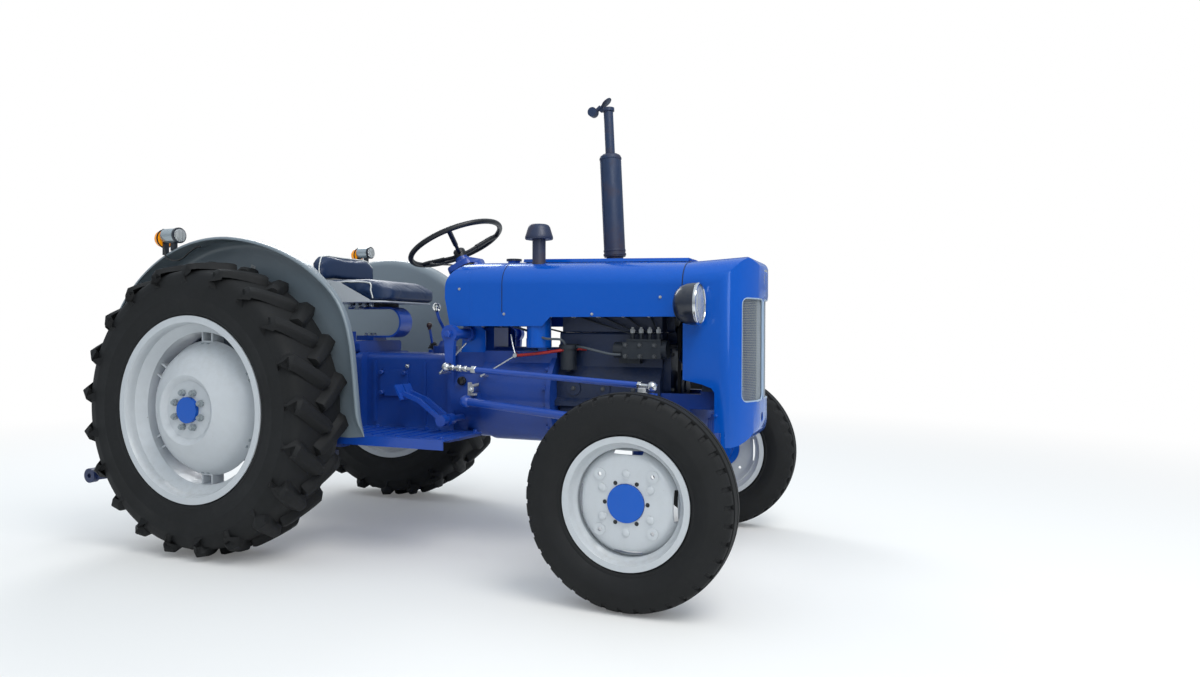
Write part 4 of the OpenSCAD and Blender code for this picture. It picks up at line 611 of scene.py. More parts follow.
# Pipes and cables: fuel pipes are drawn steel tube, bent to shape and flared into their unions; the cables are
# stranded copper in rubber or vinyl, clipped to the engine.
def tube(route, radius, sides=12, steps=6, closed_ends=True):
    """A round tube along a smooth curve through the route's points."""
    knots = [Vector(p) for p in route]
    line = []
    for i in range(len(knots) - 1):
        before, a, b, after = knots[max(i - 1, 0)], knots[i], knots[i + 1], knots[min(i + 2, len(knots) - 1)]
        for k in range(steps if len(knots) > 2 else 1):
            t = k / steps
            line.append(0.5 * ((2 * a) + (b - before) * t + (2 * before - 5 * a + 4 * b - after) * t * t
                               + (3 * a - before - 3 * b + after) * t ** 3))
    line.append(knots[-1])
    points, faces = [], []
    side_way = None
    for i, spot in enumerate(line):
        way = (line[min(i + 1, len(line) - 1)] - line[max(i - 1, 0)]).normalized()
        if side_way is None:
            side_way = way.orthogonal().normalized()
        side_way = (side_way - way * side_way.dot(way)).normalized()
        other = way.cross(side_way)
        for k in range(sides):
            a = 2 * math.pi * k / sides
            points.append(tuple(spot + (side_way * math.cos(a) + other * math.sin(a)) * radius))
    for i in range(len(line) - 1):
        for k in range(sides):
            n = (k + 1) % sides
            faces.append((i * sides + k, i * sides + n, (i + 1) * sides + n, (i + 1) * sides + k))
    if closed_ends:
        faces += [tuple(range(sides)), tuple((len(line) - 1) * sides + k for k in reversed(range(sides)))]
    return points, faces


def lathed(profile, place, way, steps=32):
    """A profile, along and out, turned about the line through place that points along way."""
    way = Vector(way).normalized()
    first = way.orthogonal().normalized()
    second = way.cross(first)
    points, faces, n = [], [], len(profile)
    for i in range(steps):
        a = 2 * math.pi * i / steps
        out = first * math.cos(a) + second * math.sin(a)
        points += [tuple(Vector(place) + way * along + out * r) for along, r in profile]
    for i in range(steps):
        k = (i + 1) % steps
        faces += [(i * n + j, i * n + j + 1, k * n + j + 1, k * n + j) for j in range(n - 1)]
    return points, faces


bright_steel = enamel("bright_plated_steel", "#C9CCCE", roughness=0.22, coat=0.0, wave_mm=6, wave=0.04,
                      dust="#8A867C", dust_amount=0.2, mottle=0.03, metallic=0.9)
pipe_parts = []
for i, (x, toward) in enumerate(((1688, 1420), (1724, 1530), (1760, 1640), (1796, 1750))):
    # union nut on the pump, and the injector's nut on the head
    pipe_parts.append(lathed([(0, 0), (0, 0.0095), (0.004, 0.0105), (0.014, 0.0105), (0.017, 0.0085), (0.017, 0)],
                             from_axle(x, -158, 928), UPWARD, 6))
    pipe_parts.append(lathed([(0, 0), (0, 0.006), (0.008, 0.005), (0.008, 0)], from_axle(x, -158, 944), UPWARD, 16))
    pipe_parts.append(lathed([(-0.012, 0), (-0.012, 0.011), (0.010, 0.011), (0.012, 0.009), (0.012, 0)],
                             from_axle(toward, -131, 1000), OUT_RIGHT, 6))
build_piece("injector_union_nuts", *gather(pipe_parts), [zinc_steel], "chassis", slot="bare_steel")
# the low-pressure pipes are darker than bright steel: partly dull steel, partly painted shade of the engine bay
pipe_steel_with_painted_shade = enamel("dulled_steel_pipe_with_painted_shade", "#4E565E", roughness=0.45, coat=0.0, wave_mm=5, wave=0.1, dust="#3C3932",
                    dust_amount=0.4, mottle=0.1)
line_parts = [tube([from_axle(1410, -190, 872), from_axle(1400, -215, 900), from_axle(1330, -222, 905),
                    from_axle(1250, -180, 930), from_axle(1120, -120, 958)], 0.005),
              tube([from_axle(1444, -162, 872), from_axle(1500, -205, 868), from_axle(1600, -205, 846),
                    from_axle(1650, -196, 842)], 0.005)]
build_piece("low_pressure_fuel_pipes", *gather(line_parts), [pipe_steel_with_painted_shade], "chassis", slot="bare_steel")


def cable_cover(name, colour):
    """Vinyl cable sleeve: even colour, a soft sheen, and a fine skin that only just catches the light."""
    made, tree, shader = blank_material(name)
    place = add_node(tree, "ShaderNodeTexCoord").outputs["Object"]
    cloud = add_node(tree, "ShaderNodeTexNoise", {"Vector": place, "Scale": 40.0, "Detail": 3.0})
    base = paint_colour(colour)
    tone = add_node(tree, "ShaderNodeMix", {0: cloud.outputs["Fac"], 6: tuple(c * 0.7 for c in base[:3]) + (1,),
                                            7: base}, data_type="RGBA")
    tree.links.new(tone.outputs[2], shader.inputs["Base Color"])
    shader.inputs["Roughness"].default_value = 0.42
    return made


red_cable = cable_cover("red_vinyl_cable_sleeve", "#A01A16")
black_cable = cable_cover("black_rubber_cable_sleeve", "#16181B")
build_piece("battery_cable", *tube([from_axle(1150, -118, 846), from_axle(1182, -196, 833),
                                    from_axle(1250, -208, 838), from_axle(1320, -205, 846),
                                    from_axle(1388, -196, 856), from_axle(1440, -150, 862),
                                    from_axle(1470, -117, 860)], 0.0065), [red_cable], "chassis", slot="painted_dark")
build_piece("dynamo_cable", *tube([from_axle(1592, 200, 900), from_axle(1540, 236, 905), from_axle(1440, 236, 900),
                                   from_axle(1330, 228, 900),
                                   from_axle(1230, 180, 930), from_axle(1130, 120, 958)], 0.004), [black_cable],
                                   "chassis", slot="painted_dark")

# Belt and radiator: a moulded V-belt, and a soldered copper core of thin fins, painted black
belt_rubber = rubber("black_fan_belt_rubber", "#15161A", "#3C3B38", 0.3)
joined_copy("fan_belt", "fan_belt_moulded", belt_rubber)


def finned_core(name, pitch_mm=3.0):
    """Fins soldered across flat tubes, drawn as fine dark and light lines up the core; the real pitch is 2.5 mm."""
    made, tree, shader = blank_material(name)
    place = add_node(tree, "ShaderNodeTexCoord").outputs["Object"]
    stripes = add_node(tree, "ShaderNodeTexWave", {"Vector": place, "Scale": 1000 / pitch_mm / 6.2832,
                                                   "Distortion": 0.0}, bands_direction="Z")
    tone = add_node(tree, "ShaderNodeMix", {0: stripes.outputs["Fac"], 6: paint_colour("#0B0D10"),
                                            7: paint_colour("#262B31")}, data_type="RGBA")
    tree.links.new(tone.outputs[2], shader.inputs["Base Color"])
    bump = add_node(tree, "ShaderNodeBump", {"Strength": 0.5, "Distance": 0.002, "Height": stripes.outputs["Fac"]})
    tree.links.new(bump.outputs[0], shader.inputs["Normal"])
    shader.inputs["Roughness"].default_value = 0.6
    return made


joined_copy("radiator", "radiator_soldered", [dark_enamel, finned_core("blacked_radiator_fins")],
            pick=lambda c: int(0.76 < c.z < 1.066 and abs(c.y) < 0.197))

# Front discs: six shallow pads are pressed out of the steel between the studs, to stiffen the bolting face.
# They are part of the sheet and carry its enamel.
def mesh_of(node):
    """A CAD node's points and faces, for measuring only."""
    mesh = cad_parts[node].data
    return [v.co.copy() for v in mesh.vertices], [tuple(p.vertices) for p in mesh.polygons]


for side, word in ((1, "left"), (-1, "right")):
    face = BVHTree.FromPolygons(*mesh_of(f"front_rim_{word}"))
    pads = []
    for k in range(6):
        a = math.radians(30 + 60 * k)
        x, z = FRONT_AXLE[0] + 0.098 * math.cos(a), FRONT_AXLE[2] + 0.098 * math.sin(a)
        met = face.ray_cast(Vector((x, side * 0.95, z)), Vector((0, -side, 0)))[0]
        pads.append(lathed([(-0.003, 0), (-0.003, 0.0135), (0.0006, 0.0130), (0.0026, 0.0095), (0.0032, 0.004),
                            (0.0033, 0)], met, (0, side, 0), 28))
    build_piece(f"front_disc_pads_{word}", *gather(pads), [wheel_enamel], f"wheel_front_{word}", slot="painted_white")

# Grille: woven steel wire, sprayed silver, in a rolled bright bead, sprung into each window of the nose from inside.
# The real mesh is about 5 mm; it is drawn at 6.4 mm with thick wire, so that it still reads as a mesh.
silver_wire = enamel("silver_paint_on_woven_wire", "#A3ABB2", roughness=0.35, coat=0.0, wave_mm=4, wave=0.05,
                     dust="#6F6D66", dust_amount=0.2, mottle=0.05, metallic=0.35)
NOSE_FRONT, BOW, FLAT_FACE = 2192.0, 360.0, 16.0


def grille_x(y, behind):
    """The nose's face in front of the radiator, in millimetres from the rear axle, and behind it by so much."""
    return min(NOSE_FRONT - FLAT_FACE, NOSE_FRONT - BOW + math.sqrt((BOW - 3) ** 2 - y * y)) - behind


WINDOW = (9.0, 194.0, 668.0, 1064.0, 26.0)
PITCH = 6.4


def in_window(y, z, grow=2.0):
    low_y, high_y, low_z, high_z, r = WINDOW
    dy = max(low_y + r - y, y - high_y + r, 0)
    dz = max(low_z + r - z, z - high_z + r, 0)
    return math.hypot(dy, dz) <= r + grow


wire_tree = bpy.data.node_groups.new("woven_wire", "GeometryNodeTree")
for name, kind in (("Lattice", "NodeSocketGeometry"), ("Wire Radius", "NodeSocketFloat"),
                   ("Finish", "NodeSocketMaterial")):
    wire_tree.interface.new_socket(name, in_out="INPUT", socket_type=kind)
wire_tree.interface.new_socket("Wire", in_out="OUTPUT", socket_type="NodeSocketGeometry")
given = wire_tree.nodes.new("NodeGroupInput")
runs = add_node(wire_tree, "GeometryNodeMeshToCurve", {"Mesh": given.outputs["Lattice"]})
section_ring = add_node(wire_tree, "GeometryNodeCurvePrimitiveCircle",
                        {"Resolution": 4, "Radius": given.outputs["Wire Radius"]})
drawn = add_node(wire_tree, "GeometryNodeCurveToMesh",
                 {"Curve": runs.outputs[0], "Profile Curve": section_ring.outputs[0], "Fill Caps": True})
whole = add_node(wire_tree, "GeometryNodeRealizeInstances", {"Geometry": drawn.outputs[0]})
faced = add_node(wire_tree, "GeometryNodeSetMaterial",
                 {"Geometry": whole.outputs[0], "Material": given.outputs["Finish"]})
node_link(wire_tree, faced.outputs[0], wire_tree.nodes.new("NodeGroupOutput"), 0)

spots, wires = [], []
for side in (1, -1):
    columns, rows = int(185 / PITCH), int(396 / PITCH)
    for upright_run in (True, False):
        for i in range(columns + 1 if upright_run else rows + 1):
            previous = None
            for j in range((rows if upright_run else columns) * 2 + 1):
                y = WINDOW[0] + (i if upright_run else j / 2) * PITCH
                z = WINDOW[2] + (j / 2 if upright_run else i) * PITCH
                if not in_window(y, z):
                    previous = None
                    continue
                # over one wire and under the next
                half_step = j if upright_run else j + 1
                weave = 0.55 * math.cos(math.pi * (half_step / 2 + i)) * (1 if upright_run else -1)
                spots.append(tuple(from_axle(grille_x(y, 6.2 + weave), side * y, z)))
                if previous is not None:
                    wires.append((previous, len(spots) - 1))
                previous = len(spots) - 1
lattice = bpy.data.meshes.new("grille_lattice")
lattice.from_pydata(spots, wires, [])
mesh_panel = grown("grille_woven_mesh", lattice, wire_tree, {"Wire Radius": 0.00095, "Finish": silver_wire},
                   "chassis")

beads = []
for side in (1, -1):
    low_y, high_y, low_z, high_z, r = WINDOW
    outline = []
    for cy, cz, start in ((high_y - r, high_z - r, 0), (low_y + r, high_z - r, 90), (low_y + r, low_z + r, 180),
                          (high_y - r, low_z + r, 270)):
        for k in range(9):
            a = math.radians(start + k * 11.25)
            outline.append((cy + (r - 1.5) * math.cos(a), cz + (r - 1.5) * math.sin(a)))
    # straight runs get points of their own, so that they follow the bow
    dense = []
    for i, (y, z) in enumerate(outline):
        y2, z2 = outline[(i + 1) % len(outline)]
        parts = max(1, int(math.hypot(y2 - y, z2 - z) / 12))
        dense += [(y + (y2 - y) * k / parts, z + (z2 - z) * k / parts) for k in range(parts)]
    route = [from_axle(grille_x(y, 0.2), side * y, z) for y, z in dense]
    beads.append(tube(route + route[:1], 0.0038, sides=8, steps=1))
bead_steel = enamel("pale_enamel_on_rolled_bead", "#9DB4CC", roughness=0.3, coat=0.3, dust_amount=0.1)
build_piece("grille_window_beads", *gather(beads), [bead_steel], "chassis", slot="painted_grey")
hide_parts("grille")

# Badge place: a blank pressed shield on two studs, left bare, above the grille on the nose's centre line
badge_outline = [(0, 1), (0.62, 0.94), (0.92, 0.62), (1, 0), (0.86, -0.62), (0.46, -0.9), (0, -1)]
badge_outline += [(-a, b) for a, b in reversed(badge_outline[1:-1])]
points, faces = [], []
for depth, size in ((0, 1.0), (4.5, 1.0), (6, 0.94), (6, 0.84), (4.6, 0.80), (4.6, 0.0)):
    for a, b in badge_outline:
        points.append(tuple(from_axle(2184 + depth, 46 * a * size, 1138 + 42 * b * size)))
n = len(badge_outline)
for i in range(5):
    faces += [(i * n + k, i * n + (k + 1) % n, (i + 1) * n + (k + 1) % n, (i + 1) * n + k) for k in range(n)]
faces.append(tuple(range(n)))
build_piece("nose_badge_plate_blank", points, faces, [bright_steel], "chassis", slot="bare_steel")

# Sheet-metal screws and bolts: hexagon heads that hold bonnet, tank, cowl and nose
sheet_bolts = [(from_axle(x, side * 238.5, z), (0, side, 0)) for side in (1, -1) for x,
               z in ((1827, 1067), (1150, 1005), (936, 1112), (1544, 1003))]
bolts("sheet_metal_bolts", sheet_bolts, 8, 4, zinc_steel)
bolts("nose_skirt_bolts", [(from_axle(2046, side * 238.5, 620), (0, side, 0)) for side in (1, -1)], 11, 5,
      body_enamel)

# Seams: the bonnet's two ends sit on strips of waxed webbing, riveted to the cowl and the nose, so that the
# sheets don't drum; a dark edge of the strip shows all the way round.
welting = cable_cover("waxed_navy_webbing", "#0A1730")
skins = [BVHTree.FromPolygons(*mesh_of(node)) for node in ("bonnet", "nose_shell", "fuel_tank", "dash_cowl")]
strips = []
for seam_x, half in ((1140, 1.4), (1914, 1.7)):
    x = from_axle(seam_x, 0, 0).x
    line = []
    for k in range(0, 121):
        a = math.radians(-9 + 198 * k / 120)
        way = Vector((0, math.cos(a), math.sin(a)))
        far = Vector((x, 0, 1.05)) + way * 0.5
        # the outermost sheet on either side of the seam
        found = [skin.ray_cast(far + Vector((shift, 0, 0)), -way) for skin in skins for shift in (-0.006, 0.006)]
        found = [f for f in found if f[0] is not None and f[3] < 0.36]
        if found:
            best = min(found, key=lambda f: f[3])
            line.append((Vector((x, best[0].y, best[0].z)), Vector((0, best[1].y, best[1].z)).normalized()))
    points, faces = [], []
    for spot, out in line:
        for along, rise in ((-half, 0.9), (half, 0.9), (half, -2.0), (-half, -2.0)):
            points.append(tuple(spot + Vector((along / 1000, 0, 0)) + out * rise / 1000))
    for i in range(len(line) - 1):
        faces += [(i * 4 + j, i * 4 + (j + 1) % 4, i * 4 + 4 + (j + 1) % 4, i * 4 + 4 + j) for j in range(4)]
    faces += [(3, 2, 1, 0), tuple(len(points) - 4 + j for j in range(4))]
    strips.append((points, faces))
build_piece("bonnet_seam_welting", *gather(strips), [welting], "chassis", slot="black_plastic")

# Headlamps: spun steel bowls in dark enamel, each with a chromed rim, a silvered bowl and a pressed, fluted glass.
lamp_shell_enamel = enamel("navy_black_enamel_on_spun_steel", "#111A2B", roughness=0.28, coat=0.3, dust="#8F8A7E",
                           dust_amount=0.15)
polished_steel = enamel("polished_stainless_lamp_case", "#A9B4BA", roughness=0.2, coat=0.0, wave_mm=12, wave=0.03,
                        dust="#8A867C", dust_amount=0.15, mottle=0.03, metallic=0.55)
# the side lamps' cases are bright, their rims and brackets dark
joined_copy("lamps", "lamp_shells", [lamp_shell_enamel, polished_steel], crease=40,
            pick=lambda c: int(math.hypot(c.y - 0.622,
                                          c.z - 1.382) < 0.0318 and -0.921 < c.x < -0.850 or math.hypot(c.y + 0.630,
                                                  c.z - 1.343) < 0.0318 and -0.960 < c.x < -0.889))
chrome = enamel("chromium_plate", "#D7DADC", roughness=0.1, coat=0.0, wave_mm=10, wave=0.02, dust="#8A867C",
                dust_amount=0.1, mottle=0.02, metallic=1.0)


def lens_glass(name, colour, flute_mm, alpha=0.0):
    """Pressed lamp glass: clear or tinted, with moulded flutes on its inside that break up the reflections."""
    made, tree, shader = blank_material(name)
    place = add_node(tree, "ShaderNodeTexCoord").outputs["Object"]
    flutes = add_node(tree, "ShaderNodeTexWave", {"Vector": place, "Scale": 1000 / flute_mm / 6.2832,
                                                  "Distortion": 0.0}, bands_direction="Y")
    bump = add_node(tree, "ShaderNodeBump", {"Strength": 0.5, "Distance": 0.0015, "Height": flutes.outputs["Fac"]})
    tree.links.new(bump.outputs[0], shader.inputs["Normal"])
    tint = add_node(tree, "ShaderNodeMix", {0: flutes.outputs["Fac"],
                                            6: tuple(c * 0.85 for c in paint_colour(colour)[:3]) + (1,),
                                           7: paint_colour(colour)}, data_type="RGBA")
    tree.links.new(tint.outputs[2], shader.inputs["Base Color"])
    shader.inputs["Roughness"].default_value = 0.06
    shader.inputs["IOR"].default_value = 1.5
    shader.inputs["Transmission Weight"].default_value = 1.0 - alpha
    shader.inputs["Coat Weight"].default_value = 0.4
    return made


clear_glass = lens_glass("clear_pressed_lamp_glass", "#EEF3F5", 9, alpha=0.3)
amber_lens = lens_glass("amber_moulded_acrylic", "#F8A80A", 7, alpha=0.7)
# daylight passes through the thin moulding and makes it glow
amber_lens.node_tree.nodes["Principled BSDF"].inputs["Emission Color"].default_value = paint_colour("#FFAE14")
amber_lens.node_tree.nodes["Principled BSDF"].inputs["Emission Strength"].default_value = 0.16
silvered = enamel("dulled_silvered_reflector", "#E4EAEE", roughness=0.42, coat=0.0, wave_mm=10, wave=0.02,
                  dust="#B8B4A8", dust_amount=0.15, mottle=0.02, metallic=0.35)
HEADLAMP = (1968, 320, 1036)
lamp_parts, glass_parts, bowl_parts = [], [], []
for side in (1, -1):
    seat_x, y, z = HEADLAMP
    centre = from_axle(seat_x, side * y, z)
    lamp_parts.append(lathed([(0.027, 0.0775), (0.031, 0.0795), (0.036, 0.0798), (0.0395, 0.0775), (0.0400, 0.0730),
                              (0.0375, 0.0715), (0.033, 0.0725), (0.027, 0.0735), (0.027, 0.0775)],
                             centre, FORWARD, 64))
    glass_parts.append(lathed([(0.0310, 0.0), (0.0308, 0.020), (0.0300, 0.040), (0.0285, 0.058), (0.0270, 0.0722),
                               (0.0325, 0.0722), (0.0365, 0.0640), (0.0400, 0.048), (0.0425, 0.030), (0.0440, 0.012),
                               (0.0443, 0.0)],
                              centre, FORWARD, 64))
    bowl_parts.append(lathed([(0.0265, 0.0722), (0.0265, 0.0700), (0.0200, 0.0640), (0.0165, 0.0500), (0.0150, 0.030),
                              (0.0145, 0.012), (0.0145, 0.0)], centre, FORWARD, 48))
    # bulb with its hood
    bowl_parts.append(lathed([(0.014, 0.0), (0.014, 0.007), (0.022, 0.007), (0.026, 0.004), (0.0265, 0.0)], centre,
                             FORWARD, 20))
build_piece("headlamp_chrome_rims", *gather(lamp_parts), [chrome], "chassis", slot="bare_steel")
build_piece("headlamp_silvered_bowls", *gather(bowl_parts), [silvered], "chassis", slot="bare_steel")
SIDE_LAMPS = ((1, -215, 622, 1382), (-1, -254, 630, 1343))
amber_parts, clip_parts = [], []
for side, x, y, z in SIDE_LAMPS:
    glass_parts.append(lathed([(0.0345, 0.0), (0.0345, 0.0285), (0.040, 0.0265), (0.043, 0.018), (0.044, 0.0)],
                              from_axle(x, side * y, z), FORWARD, 40))
    # moulded in steps, with a flat middle
    profile = [(0.0, 0.0), (0.0, 0.0370), (0.014, 0.0372), (0.022, 0.0350), (0.024, 0.0300), (0.031, 0.0280),
               (0.033, 0.0210), (0.037, 0.0180), (0.038, 0.0)]
    amber_parts.append(lathed(profile, from_axle(x - 52.4, side * y, z - 12), REARWARD, 48))
    clip_parts.append(lathed([(0.0, 0.0390), (0.0, 0.0415), (0.004, 0.0415), (0.004, 0.0372), (0.0, 0.0372)],
                             from_axle(x - 51.6, side * y, z - 12), REARWARD, 48))
made = build_piece("lamp_glasses", *gather(glass_parts), [clear_glass], "chassis", slot="lamp_glass")
build_piece("amber_flasher_lenses", *gather(amber_parts), [amber_lens], "chassis", slot="lamp_glass")
build_piece("flasher_base_rings", *gather(clip_parts), [black_cable], "chassis", slot="black_plastic")
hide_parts("lamp_glass")
# The right lamp's cable loops behind it and drops into the fender through a grommet
build_piece("side_lamp_cable", *tube([from_axle(-304, -634, 1325), from_axle(-297, -644, 1296),
                                      from_axle(-280, -648, 1252), from_axle(-242, -649, 1235),
                                      from_axle(-190, -649, 1238), from_axle(-136, -647, 1271),
                                      from_axle(-106, -641, 1288), from_axle(-98, -630, 1290)], 0.0035),
                                      [black_cable], "chassis", slot="black_plastic")

# Exhaust: a rolled and spot-welded silencer on a bent pipe, in heat-proof dark enamel that has dulled; the rain cap
# is a pressed disc with a bolted counterweight.
def heat_enamel(name, colour, hot="#4A3325"):
    """Dull heat-proof enamel: soot-darkened, and browned by rust where it has burned thin, most of all low down."""
    made, tree, shader = blank_material(name)
    place = add_node(tree, "ShaderNodeTexCoord").outputs["Object"]
    cloud = add_node(tree, "ShaderNodeTexNoise", {"Vector": place, "Scale": 14.0, "Detail": 6.0, "Roughness": 0.65})
    height = add_node(tree, "ShaderNodeSeparateXYZ", {0: place})
    low = add_node(tree, "ShaderNodeMapRange", {0: height.outputs[2], 1: 1.15, 2: 1.45, 3: 0.35, 4: 0.0})
    rust = add_node(tree, "ShaderNodeMapRange", {0: cloud.outputs["Fac"], 1: 0.5, 2: 0.75, 3: 0.0, 4: 0.45})
    both = add_node(tree, "ShaderNodeMath", {0: rust.outputs[0], 1: low.outputs[0]}, operation="ADD")
    tone = add_node(tree, "ShaderNodeMix", {0: both.outputs[0], 6: paint_colour(colour), 7: paint_colour(hot)},
                    data_type="RGBA")
    tree.links.new(tone.outputs[2], shader.inputs["Base Color"])
    rough = add_node(tree, "ShaderNodeMapRange", {0: cloud.outputs["Fac"], 1: 0.35, 2: 0.7, 3: 0.38, 4: 0.68})
    tree.links.new(rough.outputs[0], shader.inputs["Roughness"])
    grain = add_node(tree, "ShaderNodeTexNoise", {"Vector": place, "Scale": 160.0, "Detail": 3.0})
    bump = add_node(tree, "ShaderNodeBump", {"Strength": 0.15, "Distance": 0.001, "Height": grain.outputs["Fac"]})
    tree.links.new(bump.outputs[0], shader.inputs["Normal"])
    return made


stack_enamel = heat_enamel("dulled_navy_heat_enamel", "#142A4A")
joined_copy("exhaust_stack", "exhaust_stack_rolled", stack_enamel, crease=40)
joined_copy("rain_cap", "rain_cap_pressed", stack_enamel, "cap", crease=40)
LEAN = math.radians(3)


def on_stack(x, y, z):
    """A place in the leaning exhaust's own millimetres: from its foot flange, up the pipe."""
    return from_axle(1512 + x * math.cos(LEAN) - z * math.sin(LEAN), 124 + y,
                     1135.3 + x * math.sin(LEAN) + z * math.cos(LEAN))


STACK_UP = (-math.sin(LEAN), 0, math.cos(LEAN))
seams = [lathed([(0, 0.0468), (0, 0.0484), (0.004, 0.0492), (0.008, 0.0484), (0.008, 0.0468), (0, 0.0468)],
                on_stack(0, 0, z), STACK_UP, 48) for z in (150, 556)]
# the lock seam down the silencer's back
seams.append(tube([on_stack(-30, -38, 158), on_stack(-30, -38, 556)], 0.0022, sides=8, steps=1))
build_piece("silencer_seams", *gather(seams), [stack_enamel], "chassis", slot="painted_dark")
bolts("exhaust_flange_bolts", [(on_stack(35 * math.cos(a), 35 * math.sin(a), 12.2), STACK_UP) for a in (0.6, 2.7,
        4.8)], 13, 8, zinc_steel)

# Air cleaner: an oil-bath canister in blue under the bonnet's edge, and a dark pre-cleaner on top whose louvres
# throw out the coarse dust
joined_copy("air_cleaner", "air_cleaner_shell", [body_enamel, stack_enamel], crease=40,
            pick=lambda c: int(c.z > 1.118 and c.x < 0.666))
louvre_tree = bpy.data.node_groups.new("pressed_louvres", "GeometryNodeTree")
for name, kind in (("Cap", "NodeSocketGeometry"), ("Count", "NodeSocketInt"), ("Radius", "NodeSocketFloat"),
                   ("Height", "NodeSocketFloat"),
                   ("Finish", "NodeSocketMaterial")):
    louvre_tree.interface.new_socket(name, in_out="INPUT", socket_type=kind)
louvre_tree.interface.new_socket("Louvres", in_out="OUTPUT", socket_type="NodeSocketGeometry")
given = louvre_tree.nodes.new("NodeGroupInput")
round_path = add_node(louvre_tree, "GeometryNodeCurvePrimitiveCircle", {"Radius": given.outputs["Radius"]})
round_path.inputs["Resolution"].default_value = 64
places = add_node(louvre_tree, "GeometryNodeCurveToPoints",
                  {"Curve": round_path.outputs[0], "Count": given.outputs["Count"]})
centred = add_node(louvre_tree, "ShaderNodeVectorMath",
                   {0: add_node(louvre_tree, "GeometryNodeInputPosition").outputs[0]}, operation="NORMALIZE")
outward = add_node(louvre_tree, "FunctionNodeAlignRotationToVector", {"Vector": centred.outputs[0]}, axis="X")
copies = add_node(louvre_tree, "GeometryNodeInstanceOnPoints",
                  {"Points": places.outputs[0], "Instance": given.outputs["Cap"], "Rotation": outward.outputs[0]})
raise_by = add_node(louvre_tree, "ShaderNodeCombineXYZ", {"Z": given.outputs["Height"]})
raised = add_node(louvre_tree, "GeometryNodeTransform",
                  {"Geometry": copies.outputs[0], "Translation": raise_by.outputs[0]})
whole = add_node(louvre_tree, "GeometryNodeRealizeInstances", {"Geometry": raised.outputs[0]})
faced = add_node(louvre_tree, "GeometryNodeSetMaterial",
                 {"Geometry": whole.outputs[0], "Material": given.outputs["Finish"]})
node_link(louvre_tree, faced.outputs[0], louvre_tree.nodes.new("NodeGroupOutput"), 0)
# one louvre: a pressed lip 30 mm tall that leans with the cap's cone
lip = bpy.data.meshes.new("louvre_lip")
lip.from_pydata([(0.0025, -0.002, -0.013), (0.0025, 0.004, -0.013), (-0.0065, 0.004, 0.018), (-0.0065, -0.002, 0.018),
                 (-0.0015, -0.002, -0.013), (-0.0105, -0.002, 0.018)], [],
                [(0, 1, 2, 3), (0, 3, 5, 4), (4, 5, 2, 1), (0, 4, 1), (3, 2, 5)])
louvres = grown("precleaner_louvres", lip, louvre_tree,
                {"Count": 26, "Radius": 0.0545, "Height": 0.0, "Finish": stack_enamel}, "chassis")
louvres.data.transform(Matrix.Translation(from_axle(1263, -140, 1346)))
intake_band = [lathed([(0, 0.0505), (0, 0.0528), (0.016, 0.0528), (0.016, 0.0505), (0, 0.0505)],
                      from_axle(1284, -181, 990), UPWARD, 48)]
build_piece("canister_clamp_band", *gather(intake_band), [zinc_steel], "chassis", slot="bare_steel")

# Steering wheel: a moulded black rim on a steel ring, three round spokes, and a cap over the nut.
def moulded_plastic(name, colour, roughness=0.32, grain_mm=2.0):
    """Hard moulded plastic: an even deep colour, a low shine and a fine grain, dulled where hands rub it."""
    made, tree, shader = blank_material(name)
    place = add_node(tree, "ShaderNodeTexCoord").outputs["Object"]
    cloud = add_node(tree, "ShaderNodeTexNoise", {"Vector": place, "Scale": 24.0, "Detail": 4.0})
    base = paint_colour(colour)
    tone = add_node(tree, "ShaderNodeMix", {0: cloud.outputs["Fac"], 6: tuple(c * 0.75 for c in base[:3]) + (1,),
                                            7: base}, data_type="RGBA")
    tree.links.new(tone.outputs[2], shader.inputs["Base Color"])
    rough = add_node(tree, "ShaderNodeMapRange", {0: cloud.outputs["Fac"], 1: 0.35, 2: 0.7, 3: roughness,
                                                  4: roughness + 0.18})
    tree.links.new(rough.outputs[0], shader.inputs["Roughness"])
    grain = add_node(tree, "ShaderNodeTexNoise", {"Vector": place, "Scale": 1000 / grain_mm, "Detail": 2.0})
    bump = add_node(tree, "ShaderNodeBump", {"Strength": 0.08, "Distance": 0.0005, "Height": grain.outputs["Fac"]})
    tree.links.new(bump.outputs[0], shader.inputs["Normal"])
    shader.inputs["IOR"].default_value = 1.49
    return made


wheel_plastic = moulded_plastic("black_moulded_wheel_rim", "#14171D")
COLUMN = Vector((-math.sin(math.radians(25)), 0, math.cos(math.radians(25))))
AHEAD = Vector((math.cos(math.radians(25)), 0, math.sin(math.radians(25))))
RIM_MIDDLE = from_axle(771, 0, 1335)


def on_column(ahead, left, along):
    """A place in the steering column's own millimetres, from the middle of the wheel's rim."""
    return RIM_MIDDLE + AHEAD * (ahead / 1000) + Vector((0, left / 1000, 0)) + COLUMN * (along / 1000)


def ring(radius, thick, along=0.0, steps=96, sides=16):
    """A round bar bent to a ring about the steering column."""
    points, faces = [], []
    for i in range(steps):
        a = 2 * math.pi * i / steps
        for k in range(sides):
            b = 2 * math.pi * k / sides
            out = radius + thick * math.cos(b)
            points.append(tuple(on_column(out * math.cos(a), out * math.sin(a), along + thick * math.sin(b))))
    for i in range(steps):
        n = (i + 1) % steps
        faces += [(i * sides + k, i * sides + (k + 1) % sides, n * sides + (k + 1) % sides,
                   n * sides + k) for k in range(sides)]
    return points, faces


